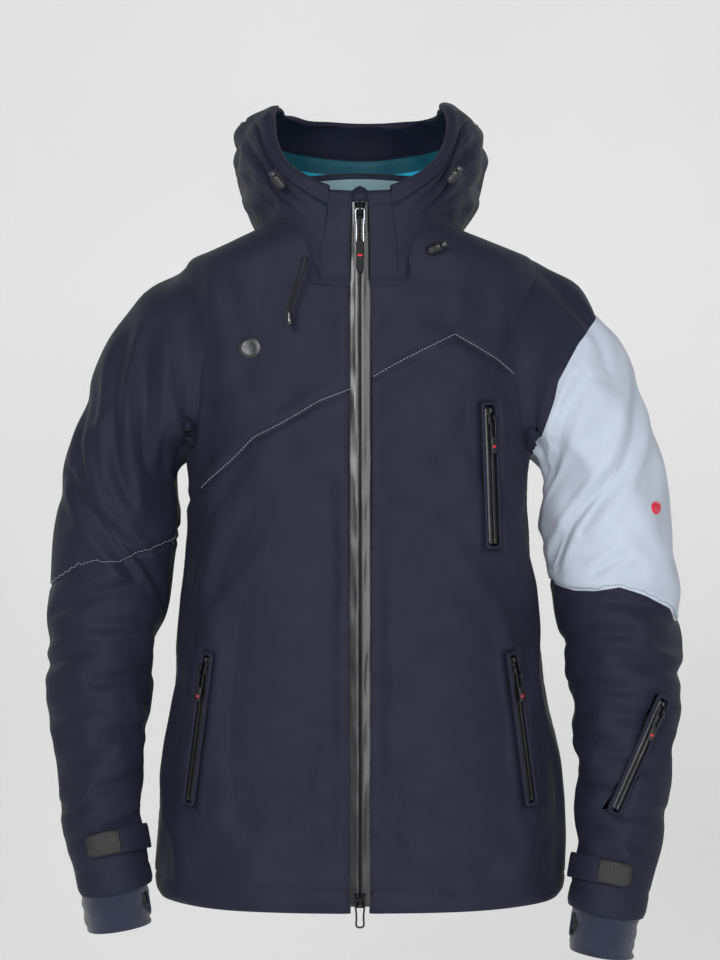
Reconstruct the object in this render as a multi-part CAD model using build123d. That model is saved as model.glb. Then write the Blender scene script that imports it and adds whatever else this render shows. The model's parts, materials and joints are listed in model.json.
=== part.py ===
from build123d import *
import os
from math import copysign, cos, pi, radians, sin, sqrt, tan

# An insulated ski jacket, standing as worn: zipped up, hood down, sleeves hanging.
# Millimetres, +Z up, +X to the wearer's left, the front faces -Y.
# It is drawn with z = 0 at the hem; everything is then moved so that the origin is
# on the hanger loop inside the back of the neck.

# ---- driving dimensions -------------------------------------------------------------
HEM_FRONT_Y = -150.0       # centre front at the hem
FRONT_RISE = 40.0 / 690.0  # how far the centre front leans back for each mm of height
ROUNDNESS = 2.6            # superellipse exponent of the body's level sections
SECTION_POINTS = 24

SHELL_WALL = 8.0           # quilted wall: face fabric, wadding and backing
LINING_DEPTH = 13.0        # from the outer face to the lining
LINING_WALL = 1.5
POCKET_DEPTH = 8.6         # from the outer face to a pocket bag
POCKET_WALL = 3.6
SIDE_SEAM_Y = 12.0
BACK_YOKE_Z = 500.0

ZIP_GAP = 9.0              # half the gap between the front panels
ZIP_TOP = 700.0
ZIP_BOTTOM = 6.0
ARM_RANGE = 50.0
ELBOW_RANGE = 60.0
TAB_RANGE = 65.0
PULLER_RANGE = 150.0
UPPER_TRAVEL = 400.0       # the upper slider opens the front from the top
LOWER_TRAVEL = 150.0       # the lower slider opens it from the hem

CUFF_RADIUS = 43.0
CUFF_LIFT = {"left": 0.0, "right": 22.0}  # the right sleeve ends higher
SIDES = {"left": 1.0, "right": -1.0}

HANGER = (0.0, 60.0, 705.0)
FAR = 2000.0

# ---- level stations: height, half width, back ---------------------------------------
TORSO = [
    (0, 208, 142), (90, 208, 138), (230, 190, 128), (370, 175, 122), (480, 177, 122),
    (560, 176, 118), (610, 175, 112), (634, 170, 107), (656, 147, 101), (676, 104, 95), (692, 86, 90),
]
COLLAR = [(590, 101, 94), (660, 96, 88), (700, 84, 78), (770, 78, 62)]
# height, half width, front, back
HOOD = [
    (572, 78, -60, 158), (612, 96, -108, 176), (650, 102, -119, 186), (677, 106, -121, 190),
    (704, 120, -117, 190), (742, 129, -108, 186), (775, 131, -92, 178), (800, 114, -66, 166),
    (813, 92, -44, 156),
]
# ---- sleeve stations: x, y, z, turn of the section, half across, half deep ----------
SHOULDER = [
    (116, 5, 528, 0, 113, 88), (176, 5, 528, 0, 113, 88), (206, 5, 506, 38, 92, 86),
    (234, 4, 474, 66, 70, 82), (250, 3, 440, 84, 67, 77),
]
UPPER = [(250, 3, 440, 84, 67, 77), (256, 0, 380, 87, 71, 74), (263, -4, 325, 89, 70, 70)]
ELBOW = [(263, -4, 325, 89, 70, 70), (268, -9, 280, 90, 68, 68), (272, -17, 235, 91, 64, 64)]
LOWER = [
    (272, -17, 235, 91, 64, 64), (273, -26, 195, 92, 60, 61), (270, -40, 144, 94, 54, 55),
    (266, -52, 95, 95, 47, 48), (261, -62, 50, 97, CUFF_RADIUS, CUFF_RADIUS),
    (248, -72, -12, 100, CUFF_RADIUS, CUFF_RADIUS),
]
GAITER = [(254, -67.5, 16, 99, 36, 36), (248, -72, -14, 99, 35, 35), (242, -76, -54, 98, 32, 32)]
SHOULDER_PIVOT = (228, 5, 560)
ELBOW_PIVOT = (268, -9, 280)

placed = {}
joints = []


def keep(name, *solids):
    """Hold a finished node as a compound of separate solids."""
    found = []
    for shape in solids:
        found += [s for s in shape.solids() if s.volume > 1.0]
    placed[name] = found


def front_line(z):
    return HEM_FRONT_Y + FRONT_RISE * z


def level_loft(stations, grow=0.0, rise=0.0):
    """A solid through level superellipse sections, each (z, half width, front, back)."""
    wires = []
    for z, half_width, front, back in stations:
        middle, half_depth = (front + back) / 2, (back - front) / 2 + grow
        points = []
        for i in range(SECTION_POINTS):
            turn = 2 * pi * (i + 0.5) / SECTION_POINTS
            across = copysign(abs(cos(turn)) ** (2 / ROUNDNESS), cos(turn))
            along = copysign(abs(sin(turn)) ** (2 / ROUNDNESS), sin(turn))
            points.append(Vector((half_width + grow) * across, middle + half_depth * along, z + rise))
        wires.append(Wire.make_polygon(points, close=True))
    return Solid.make_loft(wires, ruled=True)


def torso_solid(grow=0.0, rise=0.0):
    return level_loft([(z, a, front_line(z), back) for z, a, back in TORSO], grow, rise)


def collar_solid(grow=0.0, forward=0.0):
    """The collar's envelope, drawn out to the front by forward where it cuts other pieces."""
    return level_loft([(z, a, front_line(z) - forward, back) for z, a, back in COLLAR], grow)


def torso_front(x, z):
    """Depth of the torso's outer front face at (x, z)."""
    for (z0, a0, back0), (z1, a1, back1) in zip(TORSO, TORSO[1:]):
        if z0 <= z <= z1:
            share = (z - z0) / (z1 - z0)
            half_width, back = a0 + share * (a1 - a0), back0 + share * (back1 - back0)
            middle, half_depth = (front_line(z) + back) / 2, (back - front_line(z)) / 2
            return middle - half_depth * (1 - abs(x / half_width) ** ROUNDNESS) ** (1 / ROUNDNESS)
    raise ValueError(z)


def half_space(point, normal):
    """Everything on the normal's side of a plane."""
    return Plane(origin=point, z_dir=normal).location * Pos(0, 0, FAR / 2) * Box(FAR, FAR, FAR)


def sleeve_loft(stations, side, grow=0.0, lift=0.0):
    """A solid through tilted elliptical sections of a sleeve."""
    wires = []
    elbow_z = ELBOW_PIVOT[2]
    for x, y, z, tilt, half_across, half_deep in stations:
        raised = z + (lift * (elbow_z - z) / elbow_z if z < elbow_z else 0.0)
        outward = Vector(SIDES[side] * sin(radians(tilt)), 0, cos(radians(tilt)))
        middle = Vector(SIDES[side] * x, y, raised)
        points = []
        for i in range(SECTION_POINTS):
            turn = 2 * pi * i / SECTION_POINTS
            points.append(middle + outward * ((half_across + grow) * cos(turn))
                          + Vector(0, 1, 0) * ((half_deep + grow) * sin(turn)))
        wires.append(Wire.make_polygon(points, close=True))
    return Solid.make_loft(wires, ruled=True)


def sleeve_tube(stations, side, wall, lift=0.0, grow=0.0):
    return sleeve_loft(stations, side, grow, lift) - sleeve_loft(stations, side, grow - wall, lift)


def outline_prism(points, y0, y1):
    """An outline in X and Z, drawn through from y0 to y1."""
    face = Plane.XZ * make_face(Polyline(*points, close=True))
    return Pos(0, y0, 0) * extrude(face, amount=y1 - y0, dir=(0, 1, 0))


# ---- zips: a chain in two halves, a frame, a slider and a puller --------------------
def zip_plane(bottom, top, outward):
    """Local u across, v up along the zip and w out of the cloth, from the zip's bottom."""
    up = (Vector(*top) - Vector(*bottom)).normalized()
    across = up.cross(Vector(*outward)).normalized()
    return Plane(origin=bottom, x_dir=across, z_dir=across.cross(up))


def block(u, v, w):
    """A box between the given limits of local u, v and w."""
    size = [high - low for low, high in (u, v, w)]
    middle = [(high + low) / 2 for low, high in (u, v, w)]
    return Pos(*middle) * Box(*size)


CHAIN_SLIT = 0.6           # half the slit that the slider's web runs in
TAPE_W = (-3.6, -1.6)      # the tape lies this far below the face
BEAD_W = (-1.6, -0.4)
PLATE_FRONT_W = (0.1, 2.4)
PLATE_REAR_W = (-5.8, -4.2)
HINGE_W = 5.0


def zip_chain(length, half_tape):
    """Two halves of coated tape, each with a raised bead along the slit."""
    halves = []
    for way in (1, -1):
        tape = block(sorted((way * CHAIN_SLIT, way * half_tape)), (0, length), TAPE_W)
        bead = block(sorted((way * CHAIN_SLIT, way * (half_tape - 2.2))), (0, length), BEAD_W)
        halves.append(tape + bead)
    return halves


def zip_slider(half_width, height):
    """Front and rear plates on a thin web, with an arch for the puller's pin."""
    front = block((-half_width, half_width), (-height, 0), PLATE_FRONT_W)
    front = chamfer(front.edges().filter_by(Axis.Z).group_by(Axis.Y)[0], half_width * 0.35)
    rear = block((-half_width, half_width), (-height, 0), PLATE_REAR_W)
    web = block((-0.3, 0.3), (-height, 0), (PLATE_REAR_W[1], PLATE_FRONT_W[0]))
    arch = block((-1.2, 1.2), (-height * 0.75, -1.0), (PLATE_FRONT_W[1], HINGE_W + 2.4))
    bore = Pos(0, -height * 0.45, HINGE_W) * Rot(0, 90, 0) * Cylinder(1.5, 10)
    return front + rear + web + (arch - bore)


def zip_puller(height, length, half_width, tag):
    """A wire loop on a pin through the slider's arch, with a moulded or woven tag below."""
    hinge_v = -height * 0.45
    pin = Pos(0, hinge_v, HINGE_W) * Rot(0, 90, 0) * Cylinder(0.9, 2 * half_width)
    arms = [
        block(sorted((way * (half_width - 1.6), way * half_width)), (hinge_v - length, hinge_v),
              (HINGE_W - 0.9, HINGE_W + 0.9)) for way in (1, -1)
    ]
    foot = block((-half_width, half_width), (hinge_v - length - 2.0, hinge_v - length),
                 (HINGE_W - 0.9, HINGE_W + 0.9))
    loop = pin + arms[0] + arms[1] + foot
    strap = block((-half_width + 0.6, half_width - 0.6), (hinge_v - length - tag, hinge_v - length - 2.0),
                  (HINGE_W - 0.7, HINGE_W + 0.7))
    return loop, strap


def pull_unit(name, plane, start, travel, half_width, height, length, tag, carrier):
    """A slider and its puller, hung at local v = start and free to run down by travel."""
    spot = plane.location * Pos(0, start, 0)
    keep(name + "_slider", spot * zip_slider(half_width, height))
    loop, strap = zip_puller(height, length, max(half_width * 0.72, 3.4), tag)
    keep(name + "_puller", spot * loop, spot * strap)
    way = plane.y_dir * copysign(1, travel)
    run = sorted((0.0, abs(travel)))
    joints.append((name + "_slide", "slide", carrier, name + "_slider", way,
                   (spot * Pos(0, -height / 2, 0)).position, run))
    pin = (spot * Pos(0, -height * 0.45, HINGE_W)).position
    joints.append((name + "_pull", "hinge", name + "_slider", name + "_puller", plane.x_dir * -1, pin,
                   [0, PULLER_RANGE]))


def pocket_zip(plane, length, half_frame):
    """A welt frame with the two chain halves inside it, and the box that it fills."""
    box = block((-half_frame, half_frame), (-8, length + 8), (-9.0, 1.2))
    slot = block((-half_frame + 3.0, half_frame - 3.0), (0, length), (-10.0, 2.0))
    welt = box - slot
    chain = zip_chain(length, half_frame - 3.0)
    return [plane.location * s for s in (welt, *chain)], plane.location * box


# ---- torso --------------------------------------------------------------------------
outer = torso_solid()
shell = outer - torso_solid(-SHELL_WALL, -1.0) - Pos(0, 0, -5) * Box(FAR, FAR, 10)
lining = torso_solid(-LINING_DEPTH, -2.0) - torso_solid(-LINING_DEPTH - LINING_WALL, -2.5)
lining = lining & half_space((0, 0, 20), (0, 0, 1))

SEAM_FRONT_Z = 618.0
SEAM_BACK_Z = 700.0
seam_normal = Vector(0, -(SEAM_BACK_Z - SEAM_FRONT_Z), 208).normalized()
above_seam = half_space((0, front_line(SEAM_FRONT_Z), SEAM_FRONT_Z), seam_normal)
collar_outer = collar_solid()
collar_inner = collar_solid(-6.0)
neck_cut = collar_solid(0.3, 30.0) & above_seam
armholes = [sleeve_loft(SHOULDER[:2], side, -SHELL_WALL) for side in SIDES]
neck_rear_cut = collar_solid(0.3) & above_seam & half_space((0, -85, 0), (0, 1, 0))
for cut in [neck_cut, neck_rear_cut, collar_inner, *armholes]:
    shell -= cut
    lining -= cut

centre_gap = block((-ZIP_GAP, ZIP_GAP), (-300, -40), (-5, 900))
shell -= centre_gap
lining -= block((-ZIP_GAP - 12, ZIP_GAP + 12), (-300, -40), (-5, 900))

front_half = half_space((0, SIDE_SEAM_Y, 0), (0, -1, 0))
back_half = half_space((0, SIDE_SEAM_Y, 0), (0, 1, 0))
right_yoke_line = [(0, 512), (-9, 509), (-40, 497), (-78, 475), (-106, 461), (-131, 437), (-300, 330)]
left_yoke_line = [(0, 514), (9, 519), (39, 536), (95, 564), (136, 540), (176, 508), (300, 420)]
yoke_prisms = {
    "right": outline_prism(right_yoke_line + [(-300, 800), (0, 800)], -300, 100),
    "left": outline_prism(left_yoke_line + [(300, 800), (0, 800)], -300, 100),
}
front = shell & front_half
panels = {}
for side, sign in SIDES.items():
    half = front & half_space((0, 0, 0), (sign, 0, 0))
    panels["front_yoke_" + side] = half & yoke_prisms[side]
    panels["front_panel_" + side] = half - yoke_prisms[side]
back = shell & back_half
back_yoke_cut = half_space((0, 0, BACK_YOKE_Z), (0, 0, 1))
panels["back_yoke"] = back & back_yoke_cut
panels["back_panel"] = back - back_yoke_cut

# ---- main zip, storm flap and garage ------------------------------------------------
main_plane = zip_plane((0, front_line(ZIP_BOTTOM), ZIP_BOTTOM), (0, front_line(ZIP_TOP), ZIP_TOP), (0, -1, 0))
main_length = (ZIP_TOP - ZIP_BOTTOM) * sqrt(1 + FRONT_RISE ** 2)
main_chain = zip_chain(main_length, ZIP_GAP)
keep("main_zip_chain", *[main_plane.location * half for half in main_chain])
keep("storm_flap", main_plane.location * block((-22, 22), (0, main_length - 95), (-11.5, -9.3)))
garage = block((-11, 11), (main_length - 2, main_length + 11), (0.4, 2.2))
garage = chamfer(garage.edges().filter_by(Axis.Z).group_by(Axis.Y)[-1], 7)
keep("zip_garage", main_plane.location * garage)
UPPER_START = main_length - 4.0
LOWER_START = 13.0
pull_unit("main_upper", main_plane, UPPER_START, -UPPER_TRAVEL, 6.0, 16.0, 34.0, 30.0, "torso")
pull_unit("main_lower", main_plane, LOWER_START, LOWER_TRAVEL, 6.0, 14.0, 26.0, 6.0, "torso")

# ---- chest and hand pockets ---------------------------------------------------------
def on_front(x, z):
    return (x, torso_front(x, z), z)


def front_pocket(bottom, top):
    """The plane of a zip on the torso's front, square to the cloth at its middle."""
    x, z = (bottom[0] + top[0]) / 2, (bottom[1] + top[1]) / 2
    step = 1.0
    slope = (torso_front(x + step, z) - torso_front(x - step, z)) / (2 * step)
    return zip_plane(on_front(*bottom), on_front(*top), Vector(slope, -1, 0))


def pocket_bag(box, low, high):
    """A flat bag that follows the inside of the shell over a range of x and z."""
    layer = torso_solid(-POCKET_DEPTH, -1.0) - torso_solid(-POCKET_DEPTH - POCKET_WALL, -1.5)
    span = block((low[0], high[0]), (-300, 0), (low[1], high[1]))
    return (layer & span) - box


chest_plane = front_pocket((133, 361), (129, 490))
CHEST_LENGTH = 129.0
chest_parts, chest_box = pocket_zip(chest_plane, CHEST_LENGTH, 9.0)
keep("chest_pocket_zip", *chest_parts)
keep("chest_pocket_bag", pocket_bag(chest_box, (60, 350), (148, 496)))
pull_unit("chest", chest_plane, CHEST_LENGTH - 2.0, -(CHEST_LENGTH - 18.0), 4.6, 11.0, 22.0, 14.0, "torso")
boxes = {"left": [chest_box], "right": []}

HAND_LENGTH = 136.0
hand_parts, hand_bags = [], []
for side, sign in SIDES.items():
    plane = front_pocket((sign * 170, 106), (sign * 153, 240))
    parts, box = pocket_zip(plane, HAND_LENGTH, 7.5)
    hand_parts += parts
    boxes[side].append(box)
    low, high = sorted((sign * 40, sign * 186))
    hand_bags.append(pocket_bag(box, (low, 70), (high, 262)))
    pull_unit("hand_" + side, plane, HAND_LENGTH - 2.0, -(HAND_LENGTH - 18.0), 4.2, 11.0, 22.0, 12.0, "torso")
keep("hand_pocket_zips", *hand_parts)
keep("hand_pocket_bags", *hand_bags)
for side in SIDES:
    for box in boxes[side]:
        panels["front_panel_" + side] -= box
        panels["front_yoke_" + side] -= box
        lining -= box
for name, panel in panels.items():
    keep(name, panel)

hem_facing = torso_solid(-SHELL_WALL - 0.3, -1.0) - torso_solid(-SHELL_WALL - 3.3, -1.0)
hem_facing &= block((-FAR, FAR), (-FAR, FAR), (1, 26))
hem_facing -= block((-ZIP_GAP - 16, ZIP_GAP + 16), (-300, -40), (-5, 900))
keep("hem_facing", hem_facing)
keep("torso_lining", lining)

BADGE_RADIUS = 11.5
badge_x, badge_z = -110.0, 553.0
badge_plane = front_pocket((badge_x, badge_z - 5), (badge_x, badge_z + 5))
badge_seat = badge_plane.location * Pos(0, 5, 0.9) * Cylinder(BADGE_RADIUS, 1.2)
keep("chest_badge", badge_seat - torso_solid(0.2))

# ---- collar -------------------------------------------------------------------------
COLLAR_TOP_FRONT = 703.0
COLLAR_TOP_BACK = 752.0
top_normal = Vector(0, -(COLLAR_TOP_BACK - COLLAR_TOP_FRONT), 180).normalized()
below_top = half_space((0, front_line(COLLAR_TOP_FRONT), COLLAR_TOP_FRONT), top_normal * -1)
collar = (collar_outer - collar_inner) & above_seam & below_top
collar -= block((-ZIP_GAP, ZIP_GAP), (-300, -40), (-5, 900))
front_of_collar = half_space((0, -40, 0), (0, -1, 0))
collar_parts = {
    "collar_front_right": collar & front_of_collar & half_space((-42, 0, 0), (1, 0, 0))
    & half_space((0, 0, 0), (-1, 0, 0)),
    "collar_front_left": collar & front_of_collar & half_space((48, 0, 0), (-1, 0, 0))
    & half_space((0, 0, 0), (1, 0, 0)),
}
keep("collar_band", collar - collar_parts["collar_front_right"] - collar_parts["collar_front_left"])
for name, piece in collar_parts.items():
    keep(name, piece)
fleece = (collar_solid(-6.3) - collar_solid(-8.3)) & above_seam & below_top
fleece &= half_space((0, 0, SEAM_FRONT_Z + 12), (0, 0, 1))
fleece -= block((-ZIP_GAP - 8, ZIP_GAP + 8), (-300, -40), (-5, 900))

# The hanger loop is a strap sewn at both ends, its middle standing off the collar.
HANGER_HALF = 28.0
HANGER_STAND = 12.0
hanger_radius = (HANGER_HALF ** 2 + HANGER_STAND ** 2) / (2 * HANGER_STAND)
strap_middle = (0, HANGER[1] + hanger_radius, HANGER[2] - 3.5)
hanger = Pos(*strap_middle) * (Cylinder(hanger_radius, 7) - Cylinder(hanger_radius - 1.6, 8))
hanger -= half_space((0, HANGER[1] + HANGER_STAND, 0), (0, 1, 0))
keep("hanger_loop", (hanger & collar_solid(-8.6)))
keep("collar_lining", fleece)

# ---- hood ---------------------------------------------------------------------------
HOOD_WALL = 9.0
hood_outer = level_loft(HOOD)
hood_inner = level_loft(HOOD[:-2] + [(840, 108, -80, 160)], -HOOD_WALL) & half_space((0, 0, 588), (0, 0, 1))
RIM_TOP = (0, -6, 813)
rim_normal = Vector(0, -111, 94).normalized()
rim_cut = half_space(RIM_TOP, rim_normal)
back_rim_normal = Vector(0, 10, 100).normalized()
back_rim_cut = half_space((0, 40, 814), back_rim_normal)
mouth = block((-41, 41), (-300, -30), (500, 900))
neck_clear = collar_solid(0.8, 30.0)
hood = hood_outer - hood_inner
for cut in (torso_solid(1.0, 0.6), neck_clear, rim_cut, back_rim_cut, mouth):
    hood -= cut
hood_lining = level_loft(HOOD[:-2] + [(840, 108, -80, 160)], -HOOD_WALL - 0.4)
hood_lining -= level_loft(HOOD[:-2] + [(840, 108, -80, 160)], -HOOD_WALL - 2.0)
hood_lining &= half_space((0, 0, 640), (0, 0, 1))
lining_rim_cut = half_space((0, -2, 809), rim_normal)
lining_back_cut = half_space((0, 40, 810), back_rim_normal)
lining_top_cut = half_space((0, 0, 804), (0, 0, 1))
for cut in (torso_solid(1.4, 1.0), neck_clear, mouth, lining_rim_cut, lining_back_cut, lining_top_cut):
    hood_lining -= cut
keep("hood_lining", hood_lining)

BRIM_DEPTH = 24.0
brim_zone = half_space((0, RIM_TOP[1] + BRIM_DEPTH, RIM_TOP[2]), rim_normal)
brim = hood & brim_zone
rest = hood - brim_zone
CENTRE_HALF = 46.0
centre_zone = block((-CENTRE_HALF, CENTRE_HALF), (0, 400), (0, 900))
keep("hood_brim", brim)
keep("hood_centre", rest & centre_zone)
for side, sign in SIDES.items():
    keep("hood_side_" + side, (rest - centre_zone) & half_space((0, 0, 0), (sign, 0, 0)))

# ---- sleeves ------------------------------------------------------------------------
TAB_THICK = 2.2
TAB_SEWN = 8               # degrees round from the side towards the body to the sewn end
TAB_PLACE = {"left": 0.42, "right": 0.28}  # share of the way down the straight part of the cuff


def curved_strip(side, radius, thick, height, angles):
    """Part of a ring round the cuff, between angles measured from its inner side by the front."""
    rays = [(0, 0)]
    for angle in angles:
        rays.append((-SIDES[side] * 90 * cos(radians(angle)), -90 * sin(radians(angle))))
    wedge = extrude(make_face(Polyline(*rays, close=True)), amount=40, both=True)
    return (Cylinder(radius + thick, height) - Cylinder(radius, height + 1)) & wedge


torso_clear = torso_solid(0.3)
for side, sign in SIDES.items():
    lift = CUFF_LIFT[side]
    keep("shoulder_gusset_" + side, sleeve_tube(SHOULDER, side, SHELL_WALL) - torso_clear)
    keep("upper_sleeve_" + side, sleeve_tube(UPPER, side, SHELL_WALL))
    keep("elbow_gusset_" + side, sleeve_tube(ELBOW, side, SHELL_WALL, lift))
    lower = sleeve_tube(LOWER, side, SHELL_WALL - 2.0, lift)
    gaiter = sleeve_tube(GAITER, side, 2.4, lift)
    thumb = Pos(sign * 214, -80, -24 + lift) * Rot(0, 90, 0) * Cylinder(12.0, 40)
    keep("wrist_gaiter_" + side, gaiter - thumb)

    pivot = (sign * SHOULDER_PIVOT[0], SHOULDER_PIVOT[1], SHOULDER_PIVOT[2])
    elbow = (sign * ELBOW_PIVOT[0], ELBOW_PIVOT[1], ELBOW_PIVOT[2])
    joints.append(("shoulder_" + side, "hinge", "torso", "upper_arm_" + side, Vector(0, -sign, 0),
                   Vector(*pivot), [0, ARM_RANGE]))
    joints.append(("elbow_" + side, "hinge", "upper_arm_" + side, "forearm_" + side, Vector(-1, 0, 0),
                   Vector(*elbow), [0, ELBOW_RANGE]))

    # The cuff tab lies round the front of the straight part of the cuff.
    top, low = [Vector(sign * x, y, z + lift * (ELBOW_PIVOT[2] - z) / ELBOW_PIVOT[2])
                for x, y, z, *rest_of_station in LOWER[-2:]]
    down = (low - top).normalized()
    cuff_plane = Plane(origin=top + (low - top) * TAB_PLACE[side], x_dir=Vector(1, 0, 0) - down * down.X, z_dir=down * -1)
    tab = curved_strip(side, CUFF_RADIUS + 1.6, TAB_THICK, 25, (TAB_SEWN, 45, 80, 108))
    tab_end = curved_strip(side, CUFF_RADIUS + 1.6 + TAB_THICK, 1.4, 22, (67, 85, 105))
    keep("cuff_tab_" + side, cuff_plane.location * tab, cuff_plane.location * tab_end)
    sewn = Pos(-sign * (CUFF_RADIUS + 1.6) * cos(radians(TAB_SEWN)), -(CUFF_RADIUS + 1.6) * sin(radians(TAB_SEWN)), 0)
    joints.append(("cuff_tab_" + side, "hinge", "forearm_" + side, "cuff_tab_" + side, down * sign,
                   (cuff_plane.location * sewn).position, [0, TAB_RANGE]))
    if side == "left":
        zip_low = Vector(256, -98, 96)
        zip_high = Vector(303, -83, 196)
        sleeve_plane = zip_plane(zip_low, zip_high, Vector(0.45, -1, 0))
        SLEEVE_ZIP = (zip_high - zip_low).length
        sleeve_parts, sleeve_box = pocket_zip(sleeve_plane, SLEEVE_ZIP, 7.5)
        keep("sleeve_pocket_zip", *sleeve_parts)
        pull_unit("sleeve", sleeve_plane, SLEEVE_ZIP - 2.0, -(SLEEVE_ZIP - 18.0), 4.0, 10.0, 20.0, 12.0,
                  "forearm_left")
        layer = sleeve_tube(LOWER[:4], side, 2.6, lift, -SHELL_WALL - 0.4)
        bag = layer & half_space((0, -52, 0), (0, -1, 0)) & block((-FAR, FAR), (-FAR, FAR), (92, 190))
        keep("sleeve_pocket_bag", bag - sleeve_box)
        lower -= sleeve_box
        slider_way = block((-7.5, 7.5), (-8, SLEEVE_ZIP + 8), (0, 25))
        lower -= sleeve_plane.location * slider_way
    keep("lower_sleeve_" + side, lower)

# ---- cord locks, cords and the small badge ------------------------------------------
LOCK_RADIUS = 5.0
LOCK_LENGTH = 15.0
PLUNGER_RADIUS = 3.2
LOCKS = {
    "hood_right": ((-80, -112, 716), (-0.62, -0.2, 0.75)),
    "hood_left": ((92, -106, 722), (0.62, -0.2, 0.75)),
    "collar_left": ((74, -112, 650), (0.85, -0.35, 0.35)),
}
barrels = []
for name, (place, way) in LOCKS.items():
    plane = Plane(origin=place, z_dir=Vector(*way))
    barrel = Cylinder(LOCK_RADIUS, LOCK_LENGTH)
    barrel -= Pos(0, 0, 3) * Cylinder(PLUNGER_RADIUS + 0.4, LOCK_LENGTH)
    barrels.append(plane.location * barrel)
    button = Pos(0, 0, 6.5) * Cylinder(PLUNGER_RADIUS, 12.0)
    keep("plunger_" + name, plane.location * button)
    joints.append(("plunger_" + name, "slide", "torso", "plunger_" + name, plane.z_dir * -1,
                   plane.origin, [0, 3.0]))
keep("cord_lock_barrels", *barrels)


def cord(route, diameter):
    """Straight runs joined by arcs as large as their two runs allow."""
    points = [Vector(*p) for p in route]
    radii = []
    for before, corner, after in zip(points, points[1:], points[2:]):
        turn = (corner - before).get_angle(after - corner)
        shorter = min((corner - before).length, (after - corner).length)
        radii.append(0.45 * shorter / tan(radians(turn / 2)))
    path = FilletPolyline(*points, radius=radii)
    start = Plane(origin=path @ 0, z_dir=path % 0)
    tube = sweep(start * Circle(diameter / 2), path=path)
    full = pi * diameter ** 2 / 4 * path.length
    print("cord radii", [round(r, 1) for r in radii], "length", round(path.length, 1),
          "volume share", round(tube.volume / full, 3))
    return tube


CORD = 2.4
keep("collar_drawcord_front", cord(
    [(-57, -125, 640), (-59, -128, 630), (-63, -127.5, 615), (-68, -126.5, 600), (-71, -126, 588.4)], CORD))
keep("collar_drawcord_rear", cord(
    [(-51, -125, 641), (-53, -128, 632), (-59, -128.5, 618), (-64.8, -127.5, 602), (-68, -126, 588.4)], CORD))
cord_end = Pos(-69.5, -126, 580.6) * Cylinder(3.6, 14.8)
keep("drawcord_end", fillet(cord_end.edges().filter_by(GeomType.CIRCLE).sort_by(Axis.Z)[0:1], 0.4))
keep("sleeve_badge", Plane(origin=(300, -57, 393), z_dir=(0.62, -0.78, 0)).location * Cylinder(7.0, 1.0)
     - sleeve_loft(UPPER, "left", 0.1))


# ---- to the hanger loop, and out ----------------------------------------------------
def metres(vector):
    return [round(value / 1000, 6) for value in vector]


os.makedirs("parts", exist_ok=True)
shift = Vector(*HANGER)
for name, solids in placed.items():
    export_step(Compound(children=[Pos(*(shift * -1)) * solid for solid in solids]), f"parts/{name}.step")
for name, kind, parent, child, axis, place, span in joints:
    print("joint", name, kind, parent, child, [round(v, 6) for v in axis], metres(place - shift), span)
print(len(placed), "nodes")
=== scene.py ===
import math
import bmesh
import bpy
import numpy as np
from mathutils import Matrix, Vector
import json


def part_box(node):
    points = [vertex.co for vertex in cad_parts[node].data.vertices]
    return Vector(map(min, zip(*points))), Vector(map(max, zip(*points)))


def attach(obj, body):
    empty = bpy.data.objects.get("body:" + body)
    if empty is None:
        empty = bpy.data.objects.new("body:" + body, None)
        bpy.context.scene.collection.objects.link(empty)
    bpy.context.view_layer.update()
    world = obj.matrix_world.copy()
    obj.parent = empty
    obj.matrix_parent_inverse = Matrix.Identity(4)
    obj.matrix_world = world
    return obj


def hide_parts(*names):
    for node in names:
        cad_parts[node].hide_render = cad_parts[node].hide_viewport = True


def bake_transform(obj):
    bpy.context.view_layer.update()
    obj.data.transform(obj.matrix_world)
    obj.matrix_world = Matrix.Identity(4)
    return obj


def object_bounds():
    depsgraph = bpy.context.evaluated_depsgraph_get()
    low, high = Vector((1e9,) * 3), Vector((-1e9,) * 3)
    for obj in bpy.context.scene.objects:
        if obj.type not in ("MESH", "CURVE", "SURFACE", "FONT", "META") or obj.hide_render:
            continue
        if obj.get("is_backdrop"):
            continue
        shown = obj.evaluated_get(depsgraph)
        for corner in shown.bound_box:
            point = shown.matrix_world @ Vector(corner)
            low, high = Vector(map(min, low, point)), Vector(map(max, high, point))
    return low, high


# An insulated ski jacket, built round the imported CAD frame. Shapes are worked out in millimetres with
# z = 0 at the hem and y = 0 at the trunk's middle, as the CAD model is drawn, and mesh_object moves them
# into the frame.

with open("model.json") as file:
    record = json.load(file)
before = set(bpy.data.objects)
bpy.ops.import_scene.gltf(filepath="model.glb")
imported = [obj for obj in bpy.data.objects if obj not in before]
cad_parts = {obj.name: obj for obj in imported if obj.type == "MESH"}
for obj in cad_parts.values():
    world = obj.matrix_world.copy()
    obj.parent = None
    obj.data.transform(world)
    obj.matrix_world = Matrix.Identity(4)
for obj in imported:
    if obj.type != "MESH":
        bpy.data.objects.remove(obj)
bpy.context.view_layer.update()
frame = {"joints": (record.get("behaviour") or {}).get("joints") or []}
scene = bpy.context.scene
JOINTS = {joint["name"]: joint for joint in frame["joints"]}

ELBOW = np.array([268.0, -9.0, 280.0])
SHIFT = np.array(JOINTS["elbow_left"]["pos_m"]) * 1000 - ELBOW


def to_frame(points):
    """Millimetres above the hem to metres in the frame."""
    return (np.asarray(points, float) + SHIFT) / 1000


def place(points):
    return Vector(to_frame(points))


# ---- shared stations ----------------------------------------------------------------
HEM_FRONT_Y = -150.0
FRONT_RISE = 40.0 / 690.0  # how far the front leans back for each mm of height
ROUNDNESS = 2.6  # power of the superellipse that every level section follows
SIDES = {"left": 1.0, "right": -1.0}
BACKWARD, FORWARD = np.array([0, 1, 0]), np.array([0, -1, 0])
CUFF_LIFT = {"left": 0.0, "right": 22.0}

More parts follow.
